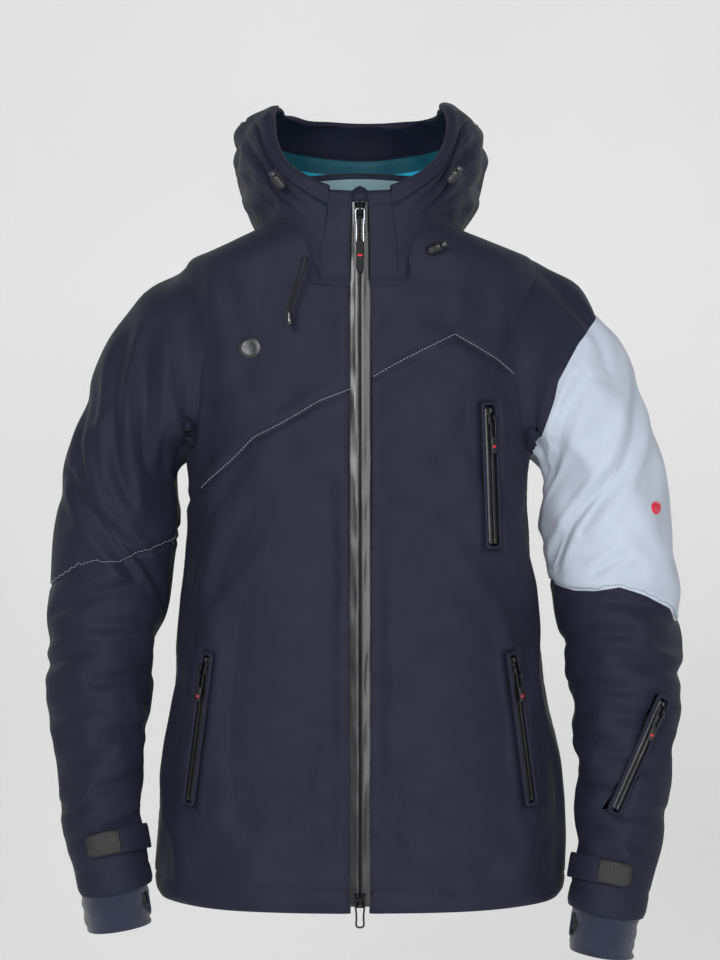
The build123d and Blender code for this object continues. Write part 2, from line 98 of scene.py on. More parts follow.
# The trunk and the collar: (height, half width, back's y).
TORSO = [
    (-10, 207, 142), (0, 208, 142), (90, 208, 138), (230, 190, 128), (370, 176, 122), (480, 177, 122),
    (560, 176, 118), (610, 175, 112), (634, 171, 107), (645, 164, 104), (656, 148, 101), (666, 128, 98),
    (676, 106, 95), (688, 90, 91), (700, 80, 88),
]
COLLAR = [(590, 101, 94), (660, 96, 88), (700, 84, 78), (770, 78, 62)]
# The hood: (height, half width, front's y, back's y).
HOOD = [
    (566, 50, 60, 122), (572, 78, -60, 158), (612, 96, -108, 176), (650, 102, -119, 186),
    (677, 106, -121, 190), (704, 120, -117, 190), (742, 129, -108, 186), (775, 131, -92, 178),
    (800, 114, -66, 166), (813, 92, -44, 156), (822, 80, -36, 150),
]
# The left sleeve and gaiter, from the shoulder down: (x, y, z, tilt in degrees, half size across it, half
# size from front to back).
SLEEVE = [
    (116, 5, 528, 0, 113, 82), (176, 5, 528, 0, 113, 82), (206, 5, 506, 38, 94, 83),
    (234, 4, 474, 66, 71, 81), (250, 3, 440, 84, 67, 77), (256, 0, 380, 87, 71, 74),
    (263, -4, 325, 89, 70, 70), (268, -9, 280, 90, 68, 68), (272, -17, 235, 91, 64, 64),
    (273, -26, 195, 92, 60, 61), (270, -40, 144, 94, 54, 55), (266, -52, 95, 95, 47, 48),
    (261, -62, 50, 97, 43, 43), (248, -72, -12, 100, 43, 43),
]
GAITER = [(254, -67.5, 16, 99, 35, 35), (248, -72, -14, 99, 34, 34), (242, -76, -54, 98, 31.5, 31.5)]


def front_line(z):
    return HEM_FRONT_Y + FRONT_RISE * z


def between(stations, key):
    """Smooth values between stations whose first column is the key."""
    table = np.asarray(stations, float)
    keys, values = table[:, 0], table[:, 1:]
    slopes = np.gradient(values, keys, axis=0)
    key = np.clip(key, keys[0], keys[-1])
    i = np.clip(np.searchsorted(keys, key) - 1, 0, len(keys) - 2)
    span = (keys[i + 1] - keys[i])[..., None]
    t = ((key - keys[i])[..., None]) / span
    out = (2 * t ** 3 - 3 * t ** 2 + 1) * values[i] + (t ** 3 - 2 * t ** 2 + t) * span * slopes[i]
    out = out + (3 * t ** 2 - 2 * t ** 3) * values[i + 1] + (t ** 3 - t ** 2) * span * slopes[i + 1]
    return np.moveaxis(out, -1, 0)


def ring_point(direction, half_width, middle, half_depth):
    """A point of a level superellipse, in the given direction round it."""
    c, s = np.cos(direction), np.sin(direction)
    reach = (np.abs(c) ** ROUNDNESS + np.abs(s) ** ROUNDNESS) ** (-1 / ROUNDNESS)
    return half_width * c * reach, middle + half_depth * s * reach


def torso_section(z, grow=0.0):
    half_width, back = between(TORSO, z)
    front = front_line(z)
    return half_width + grow, (front + back) / 2, (back - front) / 2 + grow


def torso_point(direction, z, grow=0.0):
    x, y = ring_point(direction, *torso_section(z, grow))
    return np.stack([x, y, z + 0 * x], -1)


def torso_inside(points):
    """Below 1 inside the trunk's surface and above 1 outside it."""
    half_width, middle, half_depth = torso_section(points[..., 2])
    value = np.abs(points[..., 0] / half_width) ** ROUNDNESS
    value = value + np.abs((points[..., 1] - middle) / half_depth) ** ROUNDNESS
    return np.where(points[..., 2] > 690, 2.0, value)


def torso_front(x, z):
    half_width, middle, half_depth = torso_section(z)
    return middle - half_depth * (1 - np.abs(x / half_width) ** ROUNDNESS) ** (1 / ROUNDNESS)


# ---- grids: sampling, noise, creases ------------------------------------------------
def soft_step(value, low, high):
    t = np.clip((value - low) / (high - low), 0, 1)
    return t * t * (3 - 2 * t)


def waves(points, size, seed, count=9):
    """Smooth noise from a few plane waves, about -1 to 1."""
    rng = np.random.default_rng(seed)
    total = np.zeros(points.shape[:-1])
    for _ in range(count):
        way = rng.normal(size=3)
        way *= 2 * math.pi / (size * np.linalg.norm(way) * rng.uniform(0.7, 1.4))
        total += np.sin(points @ way + rng.uniform(0, 6.28))
    return total / math.sqrt(count)


def crease_depth(u, v, creases, around=None):
    """How deep the given creases press at each (u, v). A crease is (u0, v0, u1, v1, width, depth)."""
    valley = np.zeros(np.broadcast(u, v).shape)
    ridge = np.zeros(valley.shape)
    for u0, v0, u1, v1, width, depth in creases:
        du = u - u0
        if around:
            du = (du + around / 2) % around - around / 2
        run = np.array([u1 - u0, v1 - v0])
        share = np.clip((du * run[0] + (v - v0) * run[1]) / (run @ run), 0, 1)
        away = np.hypot(du - share * run[0], (v - v0) - share * run[1])
        ends = np.clip(4 * share * (1 - share), 0, 1) ** 0.5
        deep = depth * (0.15 + 0.85 * ends)
        valley = np.maximum(valley, deep * np.exp(-(away / (0.72 * width)) ** 1.5))
        ridge = np.maximum(ridge, 0.35 * deep * np.exp(-((away - 1.6 * width) / (0.8 * width)) ** 2))
    return valley - ridge * (1 - soft_step(valley, 0.3, 2.0))


def sample(grid, u, v, wrap):
    """Smooth lookup of a regular grid (rows are v, columns are u, both 0 to 1)."""
    rows, columns = grid.shape[:2]
    x = u * (columns if wrap else columns - 1)
    y = v * (rows - 1)

    def taps(t):
        return (-0.5 * t + t ** 2 - 0.5 * t ** 3, 1 - 2.5 * t ** 2 + 1.5 * t ** 3,
                0.5 * t + 2 * t ** 2 - 1.5 * t ** 3, -0.5 * t ** 2 + 0.5 * t ** 3)

    x0, y0 = np.floor(x).astype(int), np.floor(y).astype(int)
    out = 0
    for j, wy in enumerate(taps(y - y0)):
        row = np.clip(y0 + j - 1, 0, rows - 1)
        for i, wx in enumerate(taps(x - x0)):
            column = (x0 + i - 1) % columns if wrap else np.clip(x0 + i - 1, 0, columns - 1)
            out = out + (wy * wx)[..., None] * grid[row, column]
    return out


def grid_faces(rows, columns, wrap):
    across = columns if wrap else columns - 1
    r, c = np.meshgrid(np.arange(rows - 1), np.arange(across), indexing="ij")
    right = (c + 1) % columns
    below, above = r * columns, (r + 1) * columns
    return np.stack([below + c, below + right, above + right, above + c], -1)


def capped_faces(rings, sides):
    """The faces of a closed tube: its wall and its two flat ends."""
    wall = grid_faces(rings, sides, True).reshape(-1, 4).tolist()
    return wall + [list(range(sides))[::-1], [(rings - 1) * sides + i for i in range(sides)]]


def turn_normals(normals, row, column, way):
    """The normals, all reversed if the one at that row and column points against the way."""
    return -normals if normals[row, column] @ way < 0 else normals


def turn_faces(faces, points, row, column, way):
    """The faces, all reversed if the one at that row and column points against the way."""
    corner = points.reshape(-1, 3)[faces[row, column]]
    return faces[..., ::-1] if np.cross(corner[1] - corner[0], corner[2] - corner[1]) @ way < 0 else faces


def distances(points):
    """How far along a run of points each one lies."""
    steps = np.linalg.norm(np.diff(np.asarray(points, float), axis=0), axis=1)
    return np.concatenate([[0], np.cumsum(steps)])


def resample(path, count):
    """The path's points again, evenly spaced."""
    lengths = distances(path)
    at = np.linspace(0, lengths[-1], count)
    return np.stack([np.interp(at, lengths, path[:, k]) for k in range(3)], 1)


def grid_normals(points, wrap):
    """Unit normals of a grid, one for each point."""
    if wrap:
        du = np.roll(points, -1, 1) - np.roll(points, 1, 1)
    else:
        du = np.gradient(points, axis=1)
    dv = np.gradient(points, axis=0)
    normal = np.cross(du, dv)
    return normal / np.maximum(np.linalg.norm(normal, axis=-1, keepdims=True), 1e-9)


def relax(grid, wrap, pin, grow, pressure, cap, frames=18, stiffness=12.0, bending=0.6):
    """Cloth of size 1 + grow of its place, swelling under pressure. Returns the shift of each grid point."""
    rows, columns = grid.shape[:2]
    mesh = bpy.data.meshes.new("cloth")
    mesh.from_pydata((grid.reshape(-1, 3) / 1000).tolist(), [],
                     grid_faces(rows, columns, wrap).reshape(-1, 4).tolist())
    cloth = bpy.data.objects.new("cloth", mesh)
    scene.collection.objects.link(cloth)
    group = cloth.vertex_groups.new(name="pin")
    for level in np.unique(np.round(pin, 1)):
        chosen = np.flatnonzero(np.round(pin.reshape(-1), 1) == level)
        group.add(chosen.tolist(), float(level), "REPLACE")
    modifier = cloth.modifiers.new("cloth", "CLOTH")
    settings = modifier.settings
    settings.quality = 5
    settings.mass = 0.25
    settings.air_damping = 3.0
    settings.tension_stiffness = settings.compression_stiffness = stiffness
    settings.shear_stiffness = stiffness / 3
    settings.bending_stiffness = bending
    settings.tension_damping = settings.compression_damping = 8.0
    settings.bending_damping = 1.0
    settings.shrink_min = -grow
    settings.use_pressure = pressure > 0
    settings.uniform_pressure_force = pressure
    settings.vertex_group_mass = "pin"
    settings.effector_weights.gravity = 0.0
    modifier.collision_settings.use_collision = False
    modifier.collision_settings.use_self_collision = False
    modifier.point_cache.frame_start, modifier.point_cache.frame_end = 1, frames
    for step in range(1, frames + 1):
        scene.frame_set(step)
    done = cloth.evaluated_get(bpy.context.evaluated_depsgraph_get())
    moved = np.zeros(rows * columns * 3)
    done.data.vertices.foreach_get("co", moved)
    scene.frame_set(1)
    bpy.data.objects.remove(cloth)
    bpy.data.meshes.remove(mesh)
    shift = moved.reshape(grid.shape) * 1000 - grid
    for _ in range(3):
        ends = np.roll(shift, 1, 1), np.roll(shift, -1, 1)
        if not wrap:
            ends[0][:, 0], ends[1][:, -1] = shift[:, 0], shift[:, -1]
        shift = (ends[0] + 2 * shift + ends[1]) / 4
        shift[1:-1] = (shift[:-2] + 2 * shift[1:-1] + shift[2:]) / 4
    size = np.linalg.norm(shift, axis=-1, keepdims=True)
    return shift * np.tanh(size / cap) * cap / np.maximum(size, 1e-6)


# ---- materials ----------------------------------------------------------------------
def linear(red, green, blue):
    """A screen colour, 0 to 255, as linear values."""
    values = [((c / 255 + 0.055) / 1.055) ** 2.4 if c > 10 else c / 3294 for c in (red, green, blue)]
    return (*values, 1.0)


class Surface:
    """A material's node tree, with short calls for its nodes."""

    def __init__(self, name, roughness, metallic=0.0, sheen=0.0, coat=0.0, specular=0.5):
        self.material = bpy.data.materials.new(name)
        self.material.use_nodes = True
        self.tree = self.material.node_tree
        self.shader = self.tree.nodes["Principled BSDF"]
        self.shader.inputs["Roughness"].default_value = roughness
        self.shader.inputs["Metallic"].default_value = metallic
        self.shader.inputs["Sheen Weight"].default_value = sheen
        self.shader.inputs["Sheen Roughness"].default_value = 0.45
        self.shader.inputs["Coat Weight"].default_value = coat
        self.shader.inputs["Coat Roughness"].default_value = 0.12
        self.shader.inputs["Specular IOR Level"].default_value = specular
        self.place = self.node("ShaderNodeTexCoord").outputs["Object"]

    def node(self, kind, **values):
        made = self.tree.nodes.new(kind)
        for key, value in values.items():
            setattr(made, key, value)
        return made

    def link(self, start, end):
        self.tree.links.new(start, end)

    def noise(self, scale, detail=3.0, roughness=0.55, stretch=(1, 1, 1)):
        mapping = self.node("ShaderNodeMapping")
        mapping.inputs["Scale"].default_value = stretch
        self.link(self.place, mapping.inputs["Vector"])
        made = self.node("ShaderNodeTexNoise")
        made.inputs["Scale"].default_value = scale
        made.inputs["Detail"].default_value = detail
        made.inputs["Roughness"].default_value = roughness
        self.link(mapping.outputs["Vector"], made.inputs["Vector"])
        return made.outputs["Fac"]

    def bands(self, axis, scale, distortion=0.0):
        made = self.node("ShaderNodeTexWave", bands_direction=axis)
        made.inputs["Scale"].default_value = scale
        made.inputs["Distortion"].default_value = distortion
        made.inputs["Detail"].default_value = 1.0
        self.link(self.place, made.inputs["Vector"])
        return made.outputs["Fac"]

    def maths(self, operation, first, second):
        made = self.node("ShaderNodeMath", operation=operation)
        for socket, value in zip(made.inputs, (first, second)):
            if isinstance(value, (int, float)):
                socket.default_value = value
            else:
                self.link(value, socket)
        return made.outputs[0]

    def ramp(self, value, stops, target):
        made = self.node("ShaderNodeValToRGB")
        elements = made.color_ramp.elements
        while len(elements) < len(stops):
            elements.new(0.5)
        for element, (at, colour) in zip(elements, stops):
            element.position = at
            element.color = colour if len(colour) == 4 else (*colour, 1.0)
        self.link(value, made.inputs["Fac"])
        self.link(made.outputs["Color"], self.shader.inputs[target])

    def grey_ramp(self, value, low, high, target):
        made = self.node("ShaderNodeMapRange")
        made.inputs["To Min"].default_value = low
        made.inputs["To Max"].default_value = high
        self.link(value, made.inputs["Value"])
        self.link(made.outputs["Result"], self.shader.inputs[target])

    def bump(self, layers):
        """Each layer is (height, strength, distance in metres)."""
        last = None
        for height, strength, distance in layers:
            made = self.node("ShaderNodeBump")
            made.inputs["Strength"].default_value = strength
            made.inputs["Distance"].default_value = distance
            self.link(height, made.inputs["Height"])
            if last:
                self.link(last, made.inputs["Normal"])
            last = made.outputs["Normal"]
        self.link(last, self.shader.inputs["Normal"])


def shade(colour, factor):
    return tuple(min(c * factor, 1.0) for c in colour[:3]) + (1.0,)


def woven(name, colour, roughness=0.62, sheen=0.08, thread=1500.0, spread=0.16, crinkle=0.35, specular=0.22):
    """Plain-weave face fabric: fine warp and weft, soft crinkles and a slightly uneven colour."""
    s = Surface(name, roughness, sheen=sheen, specular=specular)
    mottle = s.noise(28.0, 5.0, 0.6)
    stops = [(0.25, shade(colour, 1 - spread)), (0.55, colour), (0.8, shade(colour, 1 + spread))]
    s.ramp(mottle, stops, "Base Color")
    weave = s.maths("MAXIMUM", s.bands("X", thread), s.bands("Z", thread))
    weave = s.maths("MAXIMUM", weave, s.bands("Y", thread))
    s.bump([(s.noise(45.0, 4.0, 0.6, (1.0, 1.0, 0.6)), crinkle, 0.0011), (weave, 0.18, 0.00012),
            (s.noise(900.0, 2.0), 0.25, 0.00012)])
    s.grey_ramp(s.noise(60.0, 3.0), roughness - 0.08, roughness + 0.08, "Roughness")
    return s.material


def moulded(name, colour, roughness=0.42, grain=900.0, coat=0.0):
    s = Surface(name, roughness, coat=coat)
    mottle = s.noise(140.0, 4.0)
    s.ramp(mottle, [(0.3, shade(colour, 0.8)), (0.7, shade(colour, 1.25))], "Base Color")
    s.bump([(s.noise(grain, 3.0), 0.25, 0.00012)])
    s.grey_ramp(s.noise(220.0, 2.0), roughness - 0.08, roughness + 0.1, "Roughness")
    return s.material


def metal(name, colour, roughness=0.26):
    s = Surface(name, roughness, metallic=1.0)
    wear = s.noise(350.0, 4.0, 0.65)
    s.ramp(wear, [(0.35, shade(colour, 0.8)), (0.75, shade(colour, 1.3))], "Base Color")
    s.grey_ramp(s.noise(600.0, 3.0), roughness - 0.08, roughness + 0.14, "Roughness")
    s.bump([(s.noise(1200.0, 2.0), 0.12, 0.00006)])
    return s.material


def coated(name, colour):
    """Film-coated zip tape: glossy, with long soft ripples."""
    s = Surface(name, 0.3, coat=0.2, specular=0.4)
    s.ramp(s.noise(120.0, 3.0), [(0.3, shade(colour, 0.75)), (0.7, shade(colour, 1.35))], "Base Color")
    s.grey_ramp(s.noise(90.0, 4.0, 0.7, (1, 1, 0.3)), 0.2, 0.5, "Roughness")
    s.bump([(s.noise(70.0, 3.0, 0.6, (1.6, 1, 0.35)), 0.5, 0.0012), (s.noise(700.0, 2.0), 0.15, 0.0001)])
    return s.material


def knitted(name, colour):
    s = Surface(name, 0.78, sheen=0.35, specular=0.25)
    s.ramp(s.noise(60.0, 4.0), [(0.3, shade(colour, 0.8)), (0.7, shade(colour, 1.3))], "Base Color")
    stitches = s.maths("MULTIPLY", s.bands("X", 420.0, 0.4), s.bands("Z", 300.0, 0.6))
    s.bump([(s.bands("X", 420.0), 0.35, 0.0004), (stitches, 0.3, 0.0003), (s.noise(800.0, 2.0), 0.3, 0.0002)])
    return s.material


def ribbed(name, colour):
    """Moulded hook tape and tab ends: close small studs."""
    s = Surface(name, 0.5)
    s.ramp(s.noise(200.0, 3.0), [(0.3, shade(colour, 0.75)), (0.7, shade(colour, 1.3))], "Base Color")
    studs = s.maths("MULTIPLY", s.bands("X", 240.0), s.bands("Z", 240.0))
    s.bump([(studs, 0.6, 0.0006), (s.noise(900.0, 2.0), 0.2, 0.0001)])
    return s.material


MATERIALS = {
    "shell_fabric": woven("shell_fabric", linear(30, 32, 47), sheen=0.02, specular=0.12),
    "panel_fabric": woven("panel_fabric", linear(168, 177, 190), spread=0.05, sheen=0.05),
    "lining_fabric": woven("lining_fabric", linear(22, 168, 205), roughness=0.5, thread=1900.0, spread=0.12,
                           crinkle=0.5),
    "inner_fabric": woven("inner_fabric", linear(38, 40, 48), roughness=0.5, thread=1900.0, crinkle=0.5),
    "collar_fabric": woven("collar_fabric", linear(116, 146, 152), roughness=0.8, sheen=0.4, thread=700.0),
    "band_fabric": woven("band_fabric", linear(14, 78, 92), roughness=0.55, thread=1900.0),
    "knit": knitted("knit", linear(34, 38, 56)),
    "webbing": woven("webbing", linear(24, 24, 28), roughness=0.7, thread=500.0),
    "coated_tape": coated("coated_tape", linear(17, 17, 20)),
    "zip_metal": metal("zip_metal", linear(46, 46, 50), 0.34),
    "bright_metal": metal("bright_metal", linear(150, 152, 158), 0.22),
    "trim_plastic": moulded("trim_plastic", linear(20, 20, 23)),
    "glossy_plastic": moulded("glossy_plastic", linear(16, 16, 18), 0.2, coat=0.5),
    "hook_tape": ribbed("hook_tape", linear(16, 16, 18)),
    "cord": woven("cord", linear(18, 18, 21), roughness=0.7, thread=600.0),
    "thread": woven("thread", linear(150, 153, 160), roughness=0.6, thread=900.0, spread=0.1),
    "tonal_thread": woven("tonal_thread", linear(40, 42, 52), roughness=0.6, thread=900.0, spread=0.1),
    "badge": moulded("badge", linear(24, 25, 31), 0.38),
    "badge_red": moulded("badge_red", linear(196, 22, 52), 0.36),
    "accent": woven("accent", linear(190, 40, 44), roughness=0.6, thread=900.0),
}

# ---- objects ------------------------------------------------------------------------
SLOT_OF = {
    "collar_fabric": "lining_fabric", "band_fabric": "lining_fabric", "glossy_plastic": "trim_plastic",
    "hook_tape": "trim_plastic", "thread": "webbing", "tonal_thread": "webbing", "accent": "webbing",
}


def finish_piece(piece, material, body=None, replaces=(), padded=None):
    piece.data.materials.clear()
    piece.data.materials.append(MATERIALS[material])
    SLOT_OF.get(material, material)
    if body:
        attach(piece, body)
    if replaces:
        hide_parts(*replaces)
    return piece


def mesh_object(name, points, faces, smooth=True):
    """An object from millimetre points above the hem."""
    mesh = bpy.data.meshes.new(name)
    mesh.from_pydata(to_frame(points).tolist(), [], [list(map(int, f)) for f in faces])
    mesh.validate()
    mesh.update()
    if smooth:
        mesh.shade_smooth()
    made = bpy.data.objects.new(name, mesh)
    scene.collection.objects.link(made)
    return made


def rim_of(faces):
    """The edges that only one face has. A triangle is given as four corners with the last one twice."""
    edges = np.concatenate([faces[:, [i, (i + 1) % 4]] for i in range(4)])
    edges = edges[edges[:, 0] != edges[:, 1]]
    _, first, times = np.unique(np.sort(edges, 1), axis=0, return_index=True, return_counts=True)
    return edges[first[times == 1]]


def closed_faces(faces, count):
    """A sheet's faces with its backing and edges. The backing's points follow the face's, count of them."""
    rim = rim_of(faces)
    sides = np.stack([rim[:, 1], rim[:, 0], rim[:, 0] + count, rim[:, 1] + count], 1)
    every = np.concatenate([faces, faces[:, ::-1] + count, sides])
    return [list(dict.fromkeys(face)) for face in every.tolist()], rim


def cut_from_grid(name, points, normals, faces, wall):
    """A closed panel from some faces of a grid: the face side, a backing wall behind it and its edges."""
    flat, flat_normals = points.reshape(-1, 3), normals.reshape(-1, 3)
    used, index = np.unique(faces, return_inverse=True)
    index = index.reshape(faces.shape)
    outer, inner = flat[used], flat[used] - flat_normals[used] * wall
    every, rim = closed_faces(index, len(used))
    made = mesh_object(name, np.concatenate([outer, inner]), every)
    corner = np.zeros(len(made.data.loops), np.int32)
    made.data.loops.foreach_get("vertex_index", corner)
    vertex_normals = np.concatenate([flat_normals[used], -flat_normals[used]])
    loops = vertex_normals[corner]
    side = np.cross(inner[rim[:, 0]] - outer[rim[:, 0]], outer[rim[:, 1]] - outer[rim[:, 0]])
    side /= np.maximum(np.linalg.norm(side, axis=1, keepdims=True), 1e-9)
    loops[len(corner) - 4 * len(rim):] = -np.repeat(side, 4, axis=0)
    made.data.normals_split_custom_set(loops.tolist())
    return made


def snap(surface, u, v, gap_of, wrap, held=None):
    """Move grid points onto the curve where gap_of is 0. Returns u, v and the gaps, 0 on the curve."""
    gap = gap_of(surface(u, v))
    share_left = np.full(u.shape, 0.5001)
    move_u, move_v = np.zeros(u.shape), np.zeros(u.shape)
    for axis in (0, 1):
        for way in (1, -1):
            other = np.roll(gap, -way, axis)
            du, dv = np.roll(u, -way, axis) - u, np.roll(v, -way, axis) - v
            allowed = gap * other < 0
            if axis == 0:
                allowed[-1 if way > 0 else 0] = False
            elif wrap:
                du = (du + 0.5) % 1 - 0.5
            else:
                allowed[:, -1 if way > 0 else 0] = False
            if held is not None:
                allowed &= ~held
            share = np.where(allowed, gap / np.where(allowed, gap - other, 1), 1.0)
            nearer = share < share_left
            share_left = np.where(nearer, share, share_left)
            move_u, move_v = np.where(nearer, share * du, move_u), np.where(nearer, share * dv, move_v)
    return u + move_u, v + move_v, np.where(share_left < 0.5001, 0.0, gap)


def split_along(faces, gap):
    """Cut each square that a snapped curve crosses into two triangles, so that the curve runs along edges."""
    value = gap.reshape(-1)[faces]
    first = (value[:, 0] == 0) & (value[:, 2] == 0) & (value[:, 1] * value[:, 3] < 0)
    second = (value[:, 1] == 0) & (value[:, 3] == 0) & (value[:, 0] * value[:, 2] < 0)
    kept = faces[~first & ~second]
    halves = [faces[first][:, [0, 1, 2, 2]], faces[first][:, [0, 2, 3, 3]],
              faces[second][:, [1, 2, 3, 3]], faces[second][:, [1, 3, 0, 0]]]
    return np.concatenate([kept, *halves])


def tube_mesh(name, path, radius, sides=8):
    """A round tube along points, with flat ends."""
    path = np.asarray(path, float)
    ahead = np.gradient(path, axis=0)
    ahead /= np.linalg.norm(ahead, axis=1, keepdims=True)
    side = np.cross(ahead, [0.31, 0.87, 0.39])
    side /= np.linalg.norm(side, axis=1, keepdims=True)
    up = np.cross(ahead, side)
    turn = np.linspace(0, 2 * math.pi, sides, endpoint=False)
    radius = np.broadcast_to(radius, len(path))[:, None, None]
    ring = path[:, None] + radius * (np.cos(turn)[None, :, None] * side[:, None]
                                     + np.sin(turn)[None, :, None] * up[:, None])
    return mesh_object(name, ring.reshape(-1, 3), capped_faces(len(path), sides))


def stitches(name, lines, material, body, pitch=3.6, dash=2.5, radius=0.32):
    """Sewn stitches: a short rounded dash for each, along every line given as (points, normals)."""
    all_points, all_faces = [], []
    for points, normals in lines:
        travelled = distances(points)
        for start in np.arange(1.0, travelled[-1] - dash, pitch):
            at = np.array([start, start + dash * 0.5, start + dash])
            middle = np.stack([np.interp(at, travelled, points[:, k]) for k in range(3)], 1)
            out = np.stack([np.interp(at, travelled, normals[:, k]) for k in range(3)], 1)
            ahead = middle[2] - middle[0]
            across = np.cross(ahead / (np.linalg.norm(ahead) + 1e-9), out[1])
            middle = middle + out * np.array([[0.0], [radius * 0.9], [0.0]])
            base = len(all_points)
            for point, grow in zip(middle, (0.35, 1.0, 0.35)):
                for c, s in ((1, 0), (0, 1), (-1, 0), (0, -1)):
                    all_points.append(point + radius * grow * (c * across + s * out[1]))
            for low in (base, base + 4):
                for i, j in ((0, 1), (1, 2), (2, 3), (3, 0)):
                    all_faces.append([low + i, low + j, low + 4 + j, low + 4 + i])
            all_faces += [[base + 3, base + 2, base + 1, base], [base + 8, base + 9, base + 10, base + 11]]
    made = mesh_object(name, np.array(all_points), all_faces)
    if isinstance(body, str):
        return finish_piece(made, material, body)
    finish_piece(made, material)
    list(body[:2])
    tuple(body[2])
    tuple(body[3])
    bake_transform(made)
    return made


def mesh_clean(piece):
    """Point every face outward."""
    work = bmesh.new()
    work.from_mesh(piece.data)
    bmesh.ops.recalc_face_normals(work, faces=work.faces)
    work.to_mesh(piece.data)
    work.free()


def bevel_piece(piece, width, segments=3):
    """Round a piece's edges, applied to its mesh."""
    work = bmesh.new()
    work.from_mesh(piece.data)
    sharp = [e for e in work.edges if e.is_manifold and e.calc_face_angle(0) > 0.5]
    bmesh.ops.bevel(work, geom=sharp, offset=width, segments=segments, affect="EDGES", clamp_overlap=True)
    work.to_mesh(piece.data)
    work.free()


def rounded_plate(name, plane, outline, low, high, width=0.4):
    """A flat plate of the given outline of (u, v) points, its edges rounded."""
    n = len(outline)
    top = [plane.at(u, v, high) for u, v in outline]
    under = [plane.at(u, v, low) for u, v in outline]
    faces = [list(range(n)), [n + i for i in range(n)][::-1]]
    faces += [[i, (i + 1) % n, n + (i + 1) % n, n + i] for i in range(n)]
    made = mesh_object(name, np.array(top + under), faces)
    mesh_clean(made)
    bevel_piece(made, width / 1000)
    return made


def join(pieces, name):
    """Several meshes as one object."""
    work = bmesh.new()
    for piece in pieces:
        work.from_mesh(piece.data)
    mesh = bpy.data.meshes.new(name)
    work.to_mesh(mesh)
    work.free()
    for piece in pieces:
        bpy.data.objects.remove(piece)
    made = bpy.data.objects.new(name, mesh)
    scene.collection.objects.link(made)
    mesh.shade_smooth()
    return made


# ---- zips and pockets: their planes, shared by the cloth and the hardware -----------
class ZipPlane:
    """Local u across, v up along the zip and w out of the cloth, from the zip's bottom."""

    def __init__(self, bottom, top, outward):
        self.bottom = np.asarray(bottom, float)
        run = np.asarray(top, float) - self.bottom
        self.length = float(np.linalg.norm(run))
        self.up = run / self.length
        across = np.cross(self.up, np.asarray(outward, float))
        self.across = across / np.linalg.norm(across)
        self.out = np.cross(self.across, self.up)

    def at(self, u, v, w):
        u, v, w = (np.asarray(k, float)[..., None] for k in (u, v, w))
        return self.bottom + u * self.across + v * self.up + w * self.out

    def local(self, points):
        away = points - self.bottom
        return away @ self.across, away @ self.up, away @ self.out


def front_zip(bottom, top):
    """A zip's plane on the trunk's front, between two (x, z) places."""
    def depth(x, z):
        return float(torso_front(np.array(float(x)), np.array(float(z))))

    x, z = (bottom[0] + top[0]) / 2, (bottom[1] + top[1]) / 2
    slope = (depth(x + 1, z) - depth(x - 1, z)) / 2
    ends = [(end_x, depth(end_x, end_z), end_z) for end_x, end_z in (bottom, top)]
    return ZipPlane(*ends, (slope, -1, 0))


MAIN = ZipPlane((0, front_line(6), 6), (0, front_line(700), 700), (0, -1, 0))
CHEST = front_zip((133, 361), (129, 490))
HANDS = {side: front_zip((sign * 170, 106), (sign * 153, 240)) for side, sign in SIDES.items()}
FOREARM = ZipPlane((256, -98, 96), (303, -83, 196), (0.45, -1, 0))
# Each pocket's zip: its plane, its length and the half width of its frame.
POCKETS = {"chest": (CHEST, 129.0, 9.0), "hand_left": (HANDS["left"], 136.0, 7.5),
           "hand_right": (HANDS["right"], 136.0, 7.5), "sleeve": (FOREARM, FOREARM.length, 7.5)}


def pocket_zone(points, name, margin=0.0):
    """How far points lie outside a pocket's frame, below 0 inside it."""
    plane, length, half = POCKETS[name]
    u, v, w = plane.local(points)
    beyond = np.maximum(np.abs(u) - half, np.maximum(-8 - v, v - length - 8)) - margin
    return np.where(np.abs(w) < 40, beyond, 99.0)


# ---- sleeve shape and armholes ------------------------------------------------------
SLEEVE_KEYS = distances(np.array(SLEEVE)[:, :3])
SLEEVE_TABLE = np.column_stack([SLEEVE_KEYS, np.array(SLEEVE)])
SLEEVE_LENGTH = float(SLEEVE_KEYS[-1])
SLEEVE_SLIM = {"left": (1.0, 6.0), "right": (5.0, 10.0)}  # in from the frame's stations, room for the wadding


def lifted(z, side):
    return z + np.where(z < ELBOW[2], CUFF_LIFT[side] * (ELBOW[2] - z) / ELBOW[2], 0.0)


def sleeve_at(side, turn, along, grow=0.0, table=SLEEVE_TABLE):
    """A sleeve's surface: turn 0 is outward, a quarter is the back, a half is inward."""
    x, y, z, tilt, across, deep = between(table, along)
    sign = SIDES[side]
    if table is SLEEVE_TABLE:
        x_in, slim = SLEEVE_SLIM[side]
        ease = soft_step(along, 30, 100) * (1 - 0.5 * soft_step(along, 480, 560))
        x, across, deep = x - x_in * ease, across - slim * ease, deep - 4.0 * ease
    middle = np.stack([sign * x, y, lifted(z, side)], -1)
    tilt = np.radians(tilt)
    outward = np.stack([sign * np.sin(tilt), 0 * tilt, np.cos(tilt)], -1)
    back = np.array([0.0, 1.0, 0.0])
    return (middle + outward * ((across + grow) * np.cos(turn))[..., None]
            + back * ((deep + grow) * np.sin(turn))[..., None])


def armhole_start(side, turns):
    """How far along the sleeve its surface leaves the trunk, for each turn round it."""
    along = np.linspace(0, 330, 331)
    t, s = np.meshgrid(turns, along, indexing="ij")
    inside = torso_inside(sleeve_at(side, t, s)) < 1.0
    last = 330 - np.argmax(inside[:, ::-1], axis=1)
    start = along[last].astype(float)
    even = start
    for _ in range(3):
        even = (np.roll(even, 1) + even + np.roll(even, -1)) / 3
    return np.minimum(start, even)


